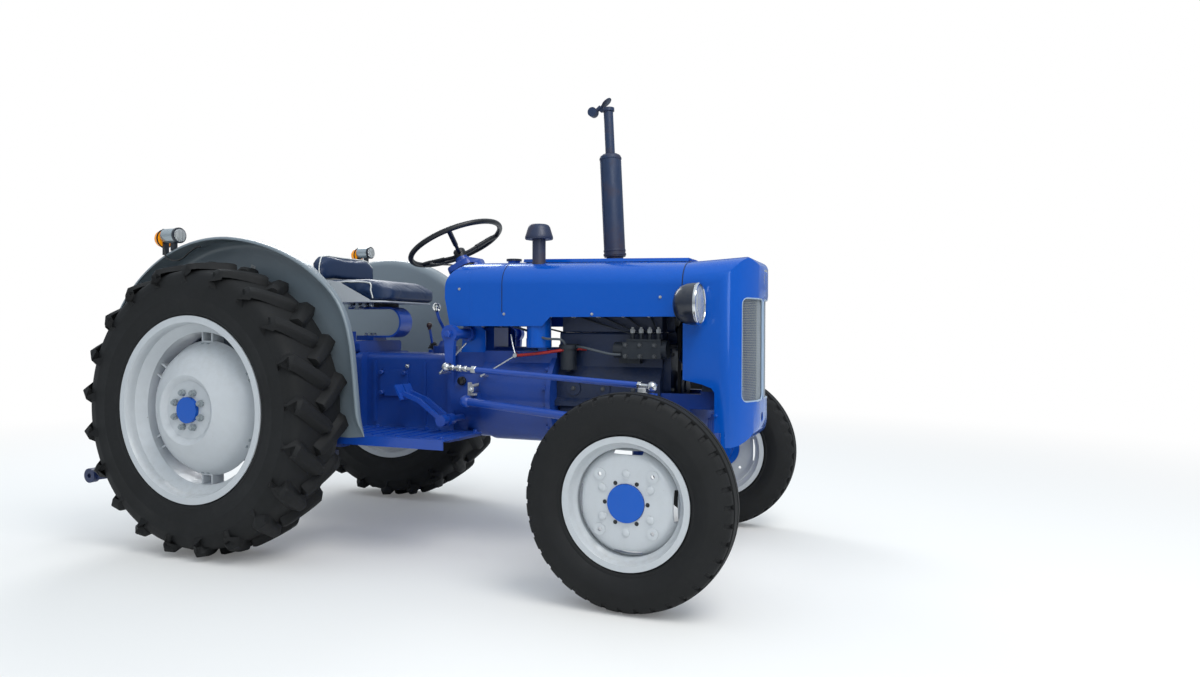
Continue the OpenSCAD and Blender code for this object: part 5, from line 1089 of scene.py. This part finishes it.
# the rim stands 50 mm above the hub, and the spokes thicken where they run into it
wheel_parts = [ring(215, 12), lathed([(-0.0785, 0.0), (-0.0785, 0.0262), (-0.066, 0.0275), (-0.040, 0.0275),
                                      (-0.034, 0.0255), (-0.029, 0.0200), (-0.0265, 0.0110), (-0.0260, 0.0)],
                                     RIM_MIDDLE, COLUMN, 40)]
for turn in (55, 175, 295):
    c, s = math.cos(math.radians(turn)), math.sin(math.radians(turn))
    way = [on_column(r * c, r * s, h) for r, h in ((14, -54), (50, -47), (110, -29), (165, -12), (211, -1))]
    wheel_parts += [tube(way, 0.0085, sides=14, steps=5),
                    tube([on_column(r * c, r * s, h) for r, h in ((92, -34.5), (130, -23), (170, -10.5), (211, -1))],
                         0.0112, sides=14, steps=5)]
hand_wheel = build_piece("steering_wheel_moulded", *gather(wheel_parts), [wheel_plastic], "hand_wheel",
                         slot="black_plastic", crease=45)
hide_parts("steering_wheel")


# Dash panel: a shallow blue pan around the column, square to it, on a rubber edge; and the hump ahead of it
def round_box_on_column(ahead, left, corner, low, high, bulge=0.0):
    """A plate with round corners about the column, from low to high along it, its edges rolled over by bulge."""
    rows = []
    for along, inset in ((low, 0.0), (high - bulge, 0.0), (high - bulge * 0.3, bulge * 0.35), (high, bulge)):
        row = []
        for cx, cy, start in ((ahead[1] - corner, left - corner, 0), (ahead[0] + corner, left - corner, 90),
                              (ahead[0] + corner, -left + corner, 180), (ahead[1] - corner, -left + corner, 270)):
            for k in range(9):
                a = math.radians(start + 90 * k / 8)
                row.append(tuple(on_column(cx + (corner - inset) * math.cos(a), cy + (corner - inset) * math.sin(a),
                                           along)))
        rows.append(row)
    n = len(rows[0])
    faces = [(i * n + k, i * n + (k + 1) % n, (i + 1) * n + (k + 1) % n,
              (i + 1) * n + k) for i in range(len(rows) - 1) for k in range(n)]
    return [p for row in rows for p in row], faces + [tuple(range(n)),
                                                      tuple(range(len(rows) * n - 1, (len(rows) - 1) * n - 1, -1))]


build_piece("dash_panel", *round_box_on_column((-58, 72), 84, 34, -134, -106, 7.0), [forged_enamel], "chassis",
            slot="painted_blue")
build_piece("dash_panel_rubber", *round_box_on_column((-52, 66), 79, 30, -142, -134), [wheel_plastic], "chassis",
            slot="tyre_rubber")
hump = [(-0.030, 0.050), (-0.004, 0.046), (0.010, 0.037), (0.018, 0.026), (0.022, 0.012), (0.0228, 0.0)]
build_piece("cowl_hump", *lathed(hump, from_axle(866, 0, 1242), UPWARD, 40), [forged_enamel], "chassis",
            slot="painted_blue")
build_piece("throttle_lever", *gather([tube([from_axle(812, -30, 1226), from_axle(777, -40, 1234),
                                             from_axle(735, -52, 1236), from_axle(690, -60, 1238)], 0.0036),
                                       lathed([(-0.009, 0.0), (-0.009, 0.005), (-0.002, 0.0072), (0.008, 0.0068),
                                               (0.013, 0.0)], from_axle(684, -61, 1238), (-1, -0.2, 0.04), 16)]),
            [wheel_plastic], "chassis", slot="black_plastic")

# Drag links: blue tubes with bright screwed ends and locknuts, on ball joints with rubber boots.
boot_rubber = rubber("black_ball_joint_rubber", "#1A1B1D", "#4E4B45", 0.3)
for side, word in ((1, "left"), (-1, "right")):
    joined_copy(f"drag_link_{word}", f"drag_link_{word}_tube", [forged_enamel, bright_steel],
                f"link_{word}", crease=40,
                pick=lambda c: int(c.x < 0.420 or c.x > 1.137))
    rear, front = from_axle(930, side * 330, 784), from_axle(1854, side * 420, 735)
    way = (front - rear).normalized()
    nuts = []
    for share, length, across in ((0.028, 0.014, 0.0125), (0.062, 0.020, 0.0145), (0.100, 0.012, 0.0130),
                                  (0.140, 0.022, 0.0155), (0.938, 0.014, 0.0135)):
        spot = rear + (front - rear) * share
        nuts.append(lathed([(0, 0), (0, across - 0.001), (0.001, across), (length - 0.001, across),
                            (length, across - 0.001), (length, 0)], spot, way, 6))
    build_piece(f"drag_link_{word}_locknuts", *gather(nuts), [bright_steel], f"link_{word}", slot="bare_steel")
    boots = [lathed([(-0.004, 0.0), (-0.004, 0.0125), (0.002, 0.0160), (0.006, 0.0140), (0.009, 0.0170),
                     (0.012, 0.0150), (0.014, 0.0)], rear + Vector((0, -side * 0.028, 0)), (0, side, 0), 24)]
    build_piece(f"drag_link_{word}_boot", *gather(boots), [boot_rubber], f"link_{word}", slot="tyre_rubber")
bolts("drop_arm_nuts_left", [(from_axle(930, 312, 922), OUT_LEFT)], 27, 12, forged_enamel, "drop_left")
bolts("drop_arm_nuts_right", [(from_axle(930, -312, 922), OUT_RIGHT)], 27, 12, forged_enamel, "drop_right")
for side, word in ((1, "left"), (-1, "right")):
    bolts(f"king_pin_nut_{word}", [(from_axle(1854, side * 538, 720), UPWARD)], 27, 14, zinc_steel,
          f"steer_knuckle_{word}")

# Throttle and clutch rods: thin plated rod, hooked into forks and small bell-cranks on the housing's side
rods = [tube([from_axle(848, -250, 754), from_axle(905, -236, 820), from_axle(961, -222, 883)], 0.0034),
        tube([from_axle(1044, -240, 746), from_axle(1120, -226, 790), from_axle(1188, -206, 833)], 0.0034),
        tube([from_axle(1188, -206, 833), from_axle(1172, -200, 872), from_axle(1158, -190, 920)], 0.0034),
        lathed([(-0.008, 0.0), (-0.008, 0.009), (0.008, 0.009), (0.008, 0.0)], from_axle(1188, -206, 833), OUT_RIGHT,
               16),
        tube([from_axle(1192, -206, 833), from_axle(1192, -150, 836)], 0.006, steps=1),
        tube([from_axle(848, -250, 754), from_axle(848, -142, 754)], 0.006, steps=1),
        tube([from_axle(1044, -240, 746), from_axle(1044, -180, 742)], 0.006, steps=1)]
build_piece("control_rods", *gather(rods), [bright_steel], "chassis", slot="bare_steel")

# Seat: a flat steel spring bent to a C and bolted to the lift cover, a pressed off-white pan with ears at its
# sides, and a cushion and a back of foam under navy vinyl, each with a white welt around its side panels.
def vinyl(name, colour, grain_mm=1.3, wear="#3A4B66"):
    """Coated upholstery cloth: a fine leather grain, a soft shine, and creases that have gone slightly paler."""
    made, tree, shader = blank_material(name)
    place = add_node(tree, "ShaderNodeTexCoord").outputs["Object"]
    grain = add_node(tree, "ShaderNodeTexVoronoi", {"Vector": place, "Scale": 1000 / grain_mm},
                     feature="DISTANCE_TO_EDGE")
    folds = add_node(tree, "ShaderNodeTexNoise", {"Vector": place, "Scale": 9.0, "Detail": 5.0, "Distortion": 0.6})
    pale = add_node(tree, "ShaderNodeMapRange", {0: folds.outputs["Fac"], 1: 0.55, 2: 0.8, 3: 0.0, 4: 0.35})
    tone = add_node(tree, "ShaderNodeMix", {0: pale.outputs[0], 6: paint_colour(colour), 7: paint_colour(wear)},
                    data_type="RGBA")
    tree.links.new(tone.outputs[2], shader.inputs["Base Color"])
    rough = add_node(tree, "ShaderNodeMapRange", {0: folds.outputs["Fac"], 1: 0.3, 2: 0.7, 3: 0.34, 4: 0.5})
    tree.links.new(rough.outputs[0], shader.inputs["Roughness"])
    fine = add_node(tree, "ShaderNodeBump", {"Strength": 0.25, "Distance": 0.0004,
                                             "Height": grain.outputs["Distance"]})
    soft = add_node(tree, "ShaderNodeBump", {"Strength": 0.25, "Distance": 0.004, "Height": folds.outputs["Fac"]})
    tree.links.new(fine.outputs[0], soft.inputs["Normal"])
    tree.links.new(soft.outputs[0], shader.inputs["Normal"])
    return made


def plate(outline, low, high, way):
    """A flat outline in millimetres from the axle, given thickness along way: x, y or z."""
    turn = {"x": lambda a, b, c: (c, a, b), "y": lambda a, b, c: (a, c, b), "z": lambda a, b, c: (a, b, c)}[way]
    n = len(outline)
    points = [tuple(from_axle(*turn(a, b, low))) for a, b in outline] + [tuple(from_axle(*turn(a, b, high))) for a,
            b in outline]
    faces = [tuple(range(n)), tuple(range(2 * n - 1, n - 1, -1))]
    faces += [(i, (i + 1) % n, n + (i + 1) % n, n + i) for i in range(n)]
    return points, faces


def rounded(low, high, corner, steps=8):
    """The outline of a box with round corners, millimetres."""
    path = []
    for cx, cy, start in ((high[0] - corner, high[1] - corner, 0), (low[0] + corner, high[1] - corner, 90),
                          (low[0] + corner, low[1] + corner, 180), (high[0] - corner, low[1] + corner, 270)):
        for k in range(steps + 1):
            a = math.radians(start + 90 * k / steps)
            path.append((cx + corner * math.cos(a), cy + corner * math.sin(a)))
    return path


seat_vinyl = vinyl("navy_vinyl_seat_cover", "#10294C")
white_welt = vinyl("white_vinyl_welt", "#D3D6D4", 0.8, "#B9B5A8")
SPRING = (430, 974, 72)
bow = [(250, 902)] + [(SPRING[0] + SPRING[2] * math.sin(a),
                       SPRING[1] - SPRING[2] * math.cos(a)) for a in [math.pi * k / 24 for k in range(25)]] + [(200,
                               1046)]
inner_bow = [(200, 1037)] + [(SPRING[0] + 63 * math.sin(a),
                              SPRING[1] - 63 * math.cos(a)) for a in [math.pi * k / 24 for k in range(24, -1,
                                      -1)]] + [(250, 911)]
frame_parts = [plate(bow + inner_bow, -46, 46, "y"),
               plate([(252, 889), (350, 889), (350, 903), (252, 903)], -50, 50, "y")]
build_piece("seat_spring", *gather(frame_parts), [forged_enamel], "chassis", slot="painted_blue")
ear = [(150, 1070), (466, 1070), (440, 1083), (351, 1126), (290, 1156), (240, 1166), (160, 1166), (150, 1150)]
pan_parts = [plate(rounded((150, -220), (520, 220), 70), 1064, 1070, "z"),
             plate([(100, 1064), (170, 1064), (170, 1070), (100, 1070)], -120, 120, "y"),
             plate([(100, 1064), (110, 1064), (110, 1230), (100, 1230)], -120, 120, "y"), plate(ear, 217, 220, "y"),
             plate(ear, -220, -217, "y")]
pan = build_piece("seat_pan_pressed", *gather(pan_parts), [wheel_enamel], "chassis", slot="painted_white")
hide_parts("seat_frame")
stop_parts = [plate(rounded((300, -88), (400, 88), 12), 1047, 1064, "z"),
              plate(rounded((215, -70), (262, 70), 8), 1047, 1064, "z")]
build_piece("seat_stop_rubbers", *gather(stop_parts), [boot_rubber], "chassis", slot="tyre_rubber")
catch_parts = [plate([(282, 1040), (300, 1040), (300, 1064), (282, 1064)], -96, -72, "y"),
               plate([(276, 1036), (306, 1036), (306, 1041), (276, 1041)], -98, -66, "y"),
               tube([from_axle(262, -84, 1050), from_axle(346, -84, 1053)], 0.0055, steps=1)]
build_piece("seat_catch", *gather(catch_parts), [bright_steel], "chassis", slot="bare_steel")
bolts("seat_spring_bolts", [(from_axle(x, y, z), w) for x, y, z,
                            w in ((285, -20, 911, UPWARD), (285, 20, 911, UPWARD), (320, 0, 911, UPWARD),
                                  (236, -70, 1056, OUT_RIGHT),
                            (372, -88, 1056, OUT_RIGHT), (330, -88, 1056, OUT_RIGHT))], 17, 10, bright_steel)


def stuffed(node, name, shrink, cap_mm, held):
    """A pad swelled by cloth under pressure: from a copy of the solid, slightly smaller, no point moving past cap_mm.
    held puts a swelled point back where the pad rests on its neighbours."""
    work = bmesh.new()
    work.from_mesh(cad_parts[node].data)
    bmesh.ops.remove_doubles(work, verts=work.verts, dist=2e-5)
    bmesh.ops.recalc_face_normals(work, faces=work.faces)
    mesh = bpy.data.meshes.new(name)
    work.to_mesh(mesh)
    work.free()
    low = Vector([min(v.co[i] for v in mesh.vertices) for i in range(3)])
    high = Vector([max(v.co[i] for v in mesh.vertices) for i in range(3)])
    for v in mesh.vertices:
        for i in range(3):
            v.co[i] = (low[i] + high[i]) / 2 + (v.co[i] - (low[i] + high[i]) / 2) * shrink[i]
    pad = bpy.data.objects.new(name, mesh)
    scene.collection.objects.link(pad)
    remesh = pad.modifiers.new("even_quads", "REMESH")
    remesh.mode, remesh.voxel_size, remesh.use_smooth_shade = "VOXEL", 0.006, True
    even = bpy.data.meshes.new_from_object(pad.evaluated_get(bpy.context.evaluated_depsgraph_get()))
    pad.modifiers.clear()
    pad.data = even
    start = [v.co.copy() for v in even.vertices]
    cloth = pad.modifiers.new("vinyl_under_pressure", "CLOTH")
    cloth.settings.quality = 5
    cloth.settings.mass = 0.3
    cloth.settings.use_pressure = True
    cloth.settings.uniform_pressure_force = 4.0
    cloth.settings.tension_stiffness = cloth.settings.compression_stiffness = 12.0
    cloth.settings.effector_weights.gravity = 0.0
    cloth.collision_settings.use_self_collision = False
    for number in range(1, 21):
        scene.frame_set(number)
    swelled = bpy.data.meshes.new_from_object(pad.evaluated_get(bpy.context.evaluated_depsgraph_get()))
    pad.modifiers.clear()
    scene.frame_set(1)
    for v, a, b in zip(even.vertices, start, swelled.vertices):
        move = b.co - a
        if move.length > cap_mm / 1000:
            move = move.normalized() * (cap_mm / 1000) * (1 + 0.35 * math.tanh(move.length * 1000 / cap_mm - 1))
        v.co = a + move
    for v in even.vertices:
        v.co = held(v.co)
    pad.modifiers.new("rounder", "SUBSURF")
    pad.modifiers["rounder"].levels = pad.modifiers["rounder"].render_levels = 1
    smooth = bpy.data.meshes.new_from_object(pad.evaluated_get(bpy.context.evaluated_depsgraph_get()))
    pad.modifiers.clear()
    smooth.name = name
    smooth.materials.clear()
    smooth.materials.append(seat_vinyl)
    pad.data = smooth
    for face in smooth.polygons:
        face.use_smooth = True
    return pad


def welted(pad, paths, radius=0.0032):
    """Draws the pad in along each path and lays a welt in the groove. Paths run just outside the pad."""
    tree = BVHTree.FromObject(pad, bpy.context.evaluated_depsgraph_get())
    laid = []
    for path in paths:
        dense = []
        for a, b in zip(path, path[1:]):
            steps = max(2, int((b - a).length / 0.008))
            dense += [a.lerp(b, k / steps) for k in range(steps)]
        dense.append(path[-1])
        found = [tree.find_nearest(p) for p in dense]
        laid.append([spot + normal * 0.0006 for spot, normal, _, _ in found])
    near = KDTree(sum(len(path) for path in laid))
    count = 0
    for path in laid:
        for p in path:
            near.insert(p, count)
            count += 1
    near.balance()
    for v in pad.data.vertices:
        _, _, gap = near.find(v.co)
        if gap < 0.014:
            v.co -= v.normal * 0.0022 * (1 - gap / 0.014) ** 2
    return [tube(path, radius, sides=10, steps=2) for path in laid]


def hold_cushion(co):
    """The cushion stays between the pan's ears, flat on the pan and clear of the back.
    Its front rolls down and forward."""
    x, y, z = co
    front = max(0.0, (x - AXLE_BACK - 0.37) / 0.16)
    x += 0.052 * min(front, 1.05) ** 2
    z -= 0.026 * min(front, 1.05) ** 2 * max(0.0, (z - 1.085) / 0.07)
    z = max(z, 1.0712)
    z = min(z, 1.1685)
    y = max(-0.2150, min(0.2150, y))
    x = max(x, AXLE_BACK + 0.1525)
    return Vector((x, y, z))


def hold_back(co):
    """The back rests on its plate and stays off the cushion."""
    x, y, z = co
    z -= 0.045 * max(0.0, (abs(y) - 0.105) / 0.1) ** 2.4 * max(0.0, (z - 1.18) / 0.12)
    return Vector((max(x - 0.003, AXLE_BACK + 0.1135), y, max(z, 1.1705)))


AXLE_BACK = from_axle(0, 0, 0).x
cushion = stuffed("seat_cushion", "seat_cushion_vinyl", (0.99, 0.985, 0.95), 8, hold_cushion)
side_seams = [[from_axle(x, side * 228, z) for x, z in ((176, 1176), (300, 1176), (420, 1173), (446, 1160),
                                                        (457, 1135), (462, 1105), (466, 1076))] for side in (1, -1)]
welts = welted(cushion, side_seams)
back = stuffed("seat_back", "seat_back_vinyl", (0.84, 0.96, 1.0), 7, hold_back)
edge = rounded((-214, 1166), (214, 1306), 60)
welts += welted(back, [[from_axle(158, y, z) for y, z in edge + edge[:1]]])
for pad, node in ((cushion, "seat_cushion"), (back, "seat_back")):
    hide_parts(node)
    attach(pad, "chassis")
build_piece("seat_welts", *gather(welts), [white_welt], "chassis", slot="seat_vinyl")

# Fenders: one sheet each, an inner plate that rolls over into a narrow curved top, with a turned lip at its edge.
# Grey enamel; bolted to the axle case and the footboards.
fender_enamel = enamel("grey_enamel_on_fender_plate", "#7A8790", roughness=0.34, coat=0.3, wave=0.06, dust="#8A8375",
                       dust_amount=0.2,
                       chip="#5D6266", chip_amount=0.04)
ARC_R, PLATE_Y, AXLE_Z = 716.5, 497.5, 610
edge_line = [(648 - 44 * k / 15, 500 + 460 * k / 15) for k in range(16)]
first, last = math.radians(36.5), math.radians(153.2)
for k in range(57):
    a = first + (last - first) * k / 56
    edge_line.append((ARC_R * math.cos(a), AXLE_Z + ARC_R * math.sin(a)))
# the straight front edge runs into the arc through an easy bend
for _ in range(12):
    edge_line[9:25] = [((a[0] + 2 * b[0] + c[0]) / 4, (a[1] + 2 * b[1] + c[1]) / 4) for a, b,
                       c in zip(edge_line[8:24], edge_line[9:25], edge_line[10:26])]


def top_reach(x, z):
    """How far the fender's top reaches out, in millimetres from the axle's middle, at a place on its edge."""
    plan = [(-900, 618), (-560, 638), (60, 638), (560, 541), (660, 531)]
    for (x0, y0), (x1, y1) in zip(plan, plan[1:]):
        if x0 <= x <= x1:
            reach = y0 + (y1 - y0) * (x - x0) / (x1 - x0)
            return PLATE_Y + 3 + (reach - PLATE_Y - 3) * min(1, max(0, (z - 505) / 70)) if x > 560 else reach


def fender_sheet():
    """The middle surface of the right fender: the rolled edge as a grid along the edge line, then the flat plate."""
    rows, inner = [], []
    for i, (x, z) in enumerate(edge_line):
        before, after = edge_line[max(i - 1, 0)], edge_line[min(i + 1, len(edge_line) - 1)]
        way = Vector((after[0] - before[0], after[1] - before[1])).normalized()
        nx, nz = way.y, -way.x
        reach = top_reach(x, z)
        corner = min(34.0, (reach - PLATE_Y) * 0.62)
        lip = min(7.0, (reach - PLATE_Y) * 0.2)
        section = [(74.0, PLATE_Y), (corner + 12, PLATE_Y)]
        section += [(corner - corner * math.sin(a),
                     PLATE_Y + corner - corner * math.cos(a)) for a in [math.pi / 2 * k / 7 for k in range(8)]]
        flat_end = reach - lip
        section += [(0, PLATE_Y + corner + (flat_end - PLATE_Y - corner) * s) for s in (0.35, 0.7, 1.0)]
        turns = [math.pi * k / 8 for k in range(1, 6)]
        section += [(lip - lip * math.cos(a), flat_end + lip * math.sin(a) - 0.4) for a in turns]
        rows.append([from_axle(x - nx * inward, -y, z - nz * inward) for inward, y in section])
        inner.append(rows[-1][0])
    points, n = [], len(rows[0])
    for row in rows:
        points += [tuple(p) for p in row]
    faces = [(i * n + j, i * n + j + 1, (i + 1) * n + j + 1,
              (i + 1) * n + j) for i in range(len(rows) - 1) for j in range(n - 1)]
    # round the axle case, then down to the footboard
    case_arc = [math.radians(d) for d in range(80, -41, -10)]
    lower = [(-415, 800), (0, 800), (0, 780)] + [(170 * math.cos(a), AXLE_Z + 170 * math.sin(a)) for a in case_arc]
    lower.append((129.6, 500))
    start = len(points)
    points += [tuple(from_axle(x, -PLATE_Y, z)) for x, z in lower]
    # the flat plate between the rolled edge and the lower cut-outs, in well-shaped triangles
    rim = [i * n for i in range(len(rows))] + list(range(start, start + len(lower)))
    flat = [Vector((points[i][0], points[i][2])) for i in rim]
    laid, _, triangles, origins, _, _ = delaunay_2d_cdt(flat, [], [list(range(len(rim)))], 1, 1e-6)
    index = {}
    for k, found in enumerate(origins):
        index[k] = rim[found[0]] if found else None
    faces += [tuple(index[k] for k in triangle) for triangle in triangles]
    return points, faces


right_sheet = fender_sheet()
fenders = build_piece("fenders_rolled", *gather([right_sheet, flipped(right_sheet)]), [fender_enamel], "chassis",
                      slot="painted_grey", crease=50)
thick = fenders.modifiers.new("sheet_3mm", "SOLIDIFY")
thick.thickness, thick.offset = 0.003, 0.0
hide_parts("fenders")
plate_screws = []
for side in (1, -1):
    for x, z in ((234, 1102), (28, 800), (28, 840), (500, 540), (-330, 1060)):
        plate_screws.append((from_axle(x, side * (PLATE_Y + 1.6), z), (0, side, 0)))
        plate_screws.append((from_axle(x, side * (PLATE_Y - 1.6), z), (0, -side, 0)))
bolts("fender_bolts", plate_screws, 11, 5, fender_enamel)
# a sprung clip under the right fender's top holds the lamp's wire where it comes through
lean = Matrix.Rotation(math.radians(-24), 2)
clip_corners = [lean @ Vector((a, b)) for a, b in ((-13, -7), (13, -7), (13, 7), (-13, 7))]
clip_parts = [plate([(62 + c.x, 1209 + c.y) for c in clip_corners], -PLATE_Y - 4, -PLATE_Y - 1.4, "y"),
              lathed([(0, 0), (0, 0.0055), (0.004, 0.0055), (0.0055, 0.0035), (0.0055, 0)],
                     from_axle(62, -PLATE_Y - 3.6, 1209), OUT_RIGHT, 20)]
build_piece("lamp_wire_clip", *gather(clip_parts), [zinc_steel], "chassis", slot="bare_steel")

# Floor: ribbed footboards with a turned-down edge, bolted to brackets on the gearbox; pedal pads; and the levers,
# drawn steel rods with moulded knobs.
joined_copy("footboards", "footboards_ribbed", forged_enamel)
board_bolts = []
for side in (1, -1):
    for x, y in ((500, 215), (1000, 215), (1000, 470), (760, 215), (500, 470)):
        board_bolts.append((from_axle(x, side * y, 505.2), UPWARD))
    board_bolts += [(from_axle(x, side * 160.5, z), (0, side, 0)) for x,
                    z in ((604, 748), (604, 652), (486, 748), (486, 652))]
bolts("floor_bolts", board_bolts, 15, 8, forged_enamel)
bolts("gearbox_plug", [(from_axle(620, -160.5, 776), OUT_RIGHT)], 13, 8, bright_steel)
clear_acrylic = lens_glass("clear_cast_acrylic", "#E9EDEA", 30)
brown_bakelite = moulded_plastic("brown_moulded_knob", "#3B2620", 0.25)
black_knob = moulded_plastic("black_moulded_knob", "#101114", 0.25)
def knob(x, y, z, radius, way=UPWARD):
    """A ball knob with a short neck, its middle at a place in millimetres from the axle."""
    r = radius / 1000
    profile = [(-r - 0.006, 0.0), (-r - 0.006, 0.0065)] + [(-r * math.cos(math.pi * k / 16),
                                                            r * math.sin(math.pi * k / 16)) for k in range(3, 17)]
    return lathed(profile, from_axle(x, y, z), way, 32)


lever_parts = [tube([from_axle(700, 28, 888), from_axle(700, 14, 940), from_axle(690, -14, 990),
                     from_axle(684, -22, 1026)], 0.0072),
               lathed([(0.0, 0.0), (0.0, 0.0150), (0.010, 0.0140), (0.014, 0.0), ], from_axle(700, 28, 884), UPWARD,
                      24),
               lathed([(0.0, 0.0), (0.0, 0.0240), (0.012, 0.0230), (0.016, 0.0), ], from_axle(596, 84, 832), UPWARD,
                      28),
               tube([from_axle(596, 84, 838), from_axle(590, 60, 950)], 0.0062, steps=1),
               lathed([(-0.008, 0.0), (-0.008, 0.019), (0.008, 0.019), (0.008, 0.0)], from_axle(290, -190, 905),
                      OUT_RIGHT, 24),
               tube([from_axle(290, -186, 905), from_axle(250, -190, 960), from_axle(222, -192, 1010)], 0.0058)]
levers = build_piece("lever_rods", *gather(lever_parts), [forged_enamel], "chassis", slot="painted_blue")
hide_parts("levers")
build_piece("gear_knob_clear", *knob(683, -23, 1044, 20), [clear_acrylic], "chassis", slot="lamp_glass")
build_piece("gear_knob_clear_insert", *lathed([(-0.016, 0.0), (-0.016, 0.006), (0.002, 0.0065), (0.004, 0.0)],
                                              from_axle(683, -23, 1044), UPWARD, 20), [bright_steel], "chassis",
                                              slot="bare_steel")
build_piece("range_knob_brown", *knob(590, 58, 960, 14), [brown_bakelite], "chassis", slot="black_plastic")
build_piece("lift_lever_knob", *knob(220, -192, 1018, 14), [black_knob], "chassis", slot="black_plastic")
# a rubber boot at the range lever's foot
boots = [lathed([(0.0, 0.026), (0.006, 0.027), (0.010, 0.020), (0.014, 0.022), (0.018, 0.015), (0.023, 0.016),
                 (0.030, 0.009), (0.032, 0.0)], from_axle(596, 84, 850), UPWARD, 28)]
build_piece("lever_boot", *gather(boots), [boot_rubber], "chassis", slot="tyre_rubber")

# Small fittings on the right side: an L-shaped stay for the rods and an electrical socket on the housing
fitting_parts = [plate([(992, 664), (1024, 664), (1024, 672), (1000, 672), (1000, 718), (992, 718)], -262, -240, "y"),
                 tube([from_axle(996, -250, 700), from_axle(1002, -176, 706)], 0.007, steps=1)]
build_piece("rod_stay", *gather(fitting_parts), [zinc_steel], "chassis", slot="bare_steel")
socket_parts = [lathed([(0, 0.0), (0, 0.019), (0.012, 0.019), (0.014, 0.016), (0.020, 0.0155), (0.022, 0.012),
                        (0.022, 0.0)], from_axle(915, -176, 718), OUT_RIGHT, 28)]
build_piece("wiring_socket", *gather(socket_parts), [black_knob], "chassis", slot="black_plastic")
bolts("housing_side_bolts", [(from_axle(958, -176, 674), OUT_RIGHT), (from_axle(1010, -262, 690), OUT_RIGHT)], 17, 10,
      bright_steel)

# Rear linkage: lift arms on their cross shaft, screwed lift rods, flat lower links with ball eyes, the splined
# power take-off and the drawbar. Paint has worn off where implements rub.
worn_link = enamel("worn_dark_blue_enamel_on_forged_steel", "#122A5A", roughness=0.42, coat=0.1, wave_mm=8, wave=0.2,
                   dust="#5E4634",
                   dust_amount=0.4, chip="#6B665E", chip_amount=0.08, mottle=0.15)
joined_copy("lift_arms", "lift_arms_forged", forged_enamel, "arms")
joined_copy("lift_rods", "lift_rods_screwed", zinc_steel, "rods")
joined_copy("lower_links", "lower_links_flat", worn_link, "links")
joined_copy("drawbar", "drawbar_plate", worn_link)
joined_copy("pto_shaft", "pto_shaft_splined", bright_steel, "pto")
PTO_Z = 560
pto_parts = [lathed([(0, 0.026), (0, 0.052), (0.007, 0.052), (0.009, 0.048), (0.009, 0.026), (0, 0.026)],
                    from_axle(-276.5, 0, PTO_Z), REARWARD, 40)]
build_piece("pto_bearing_cap", *gather(pto_parts), [forged_enamel], "chassis", slot="painted_blue")
cap_bolts = []
for k in range(6):
    a = math.pi * k / 3
    cap_bolts.append((from_axle(-285.5, 40 * math.cos(a), PTO_Z + 40 * math.sin(a)), REARWARD))
bolts("pto_cap_bolts", cap_bolts, 10, 6, zinc_steel)
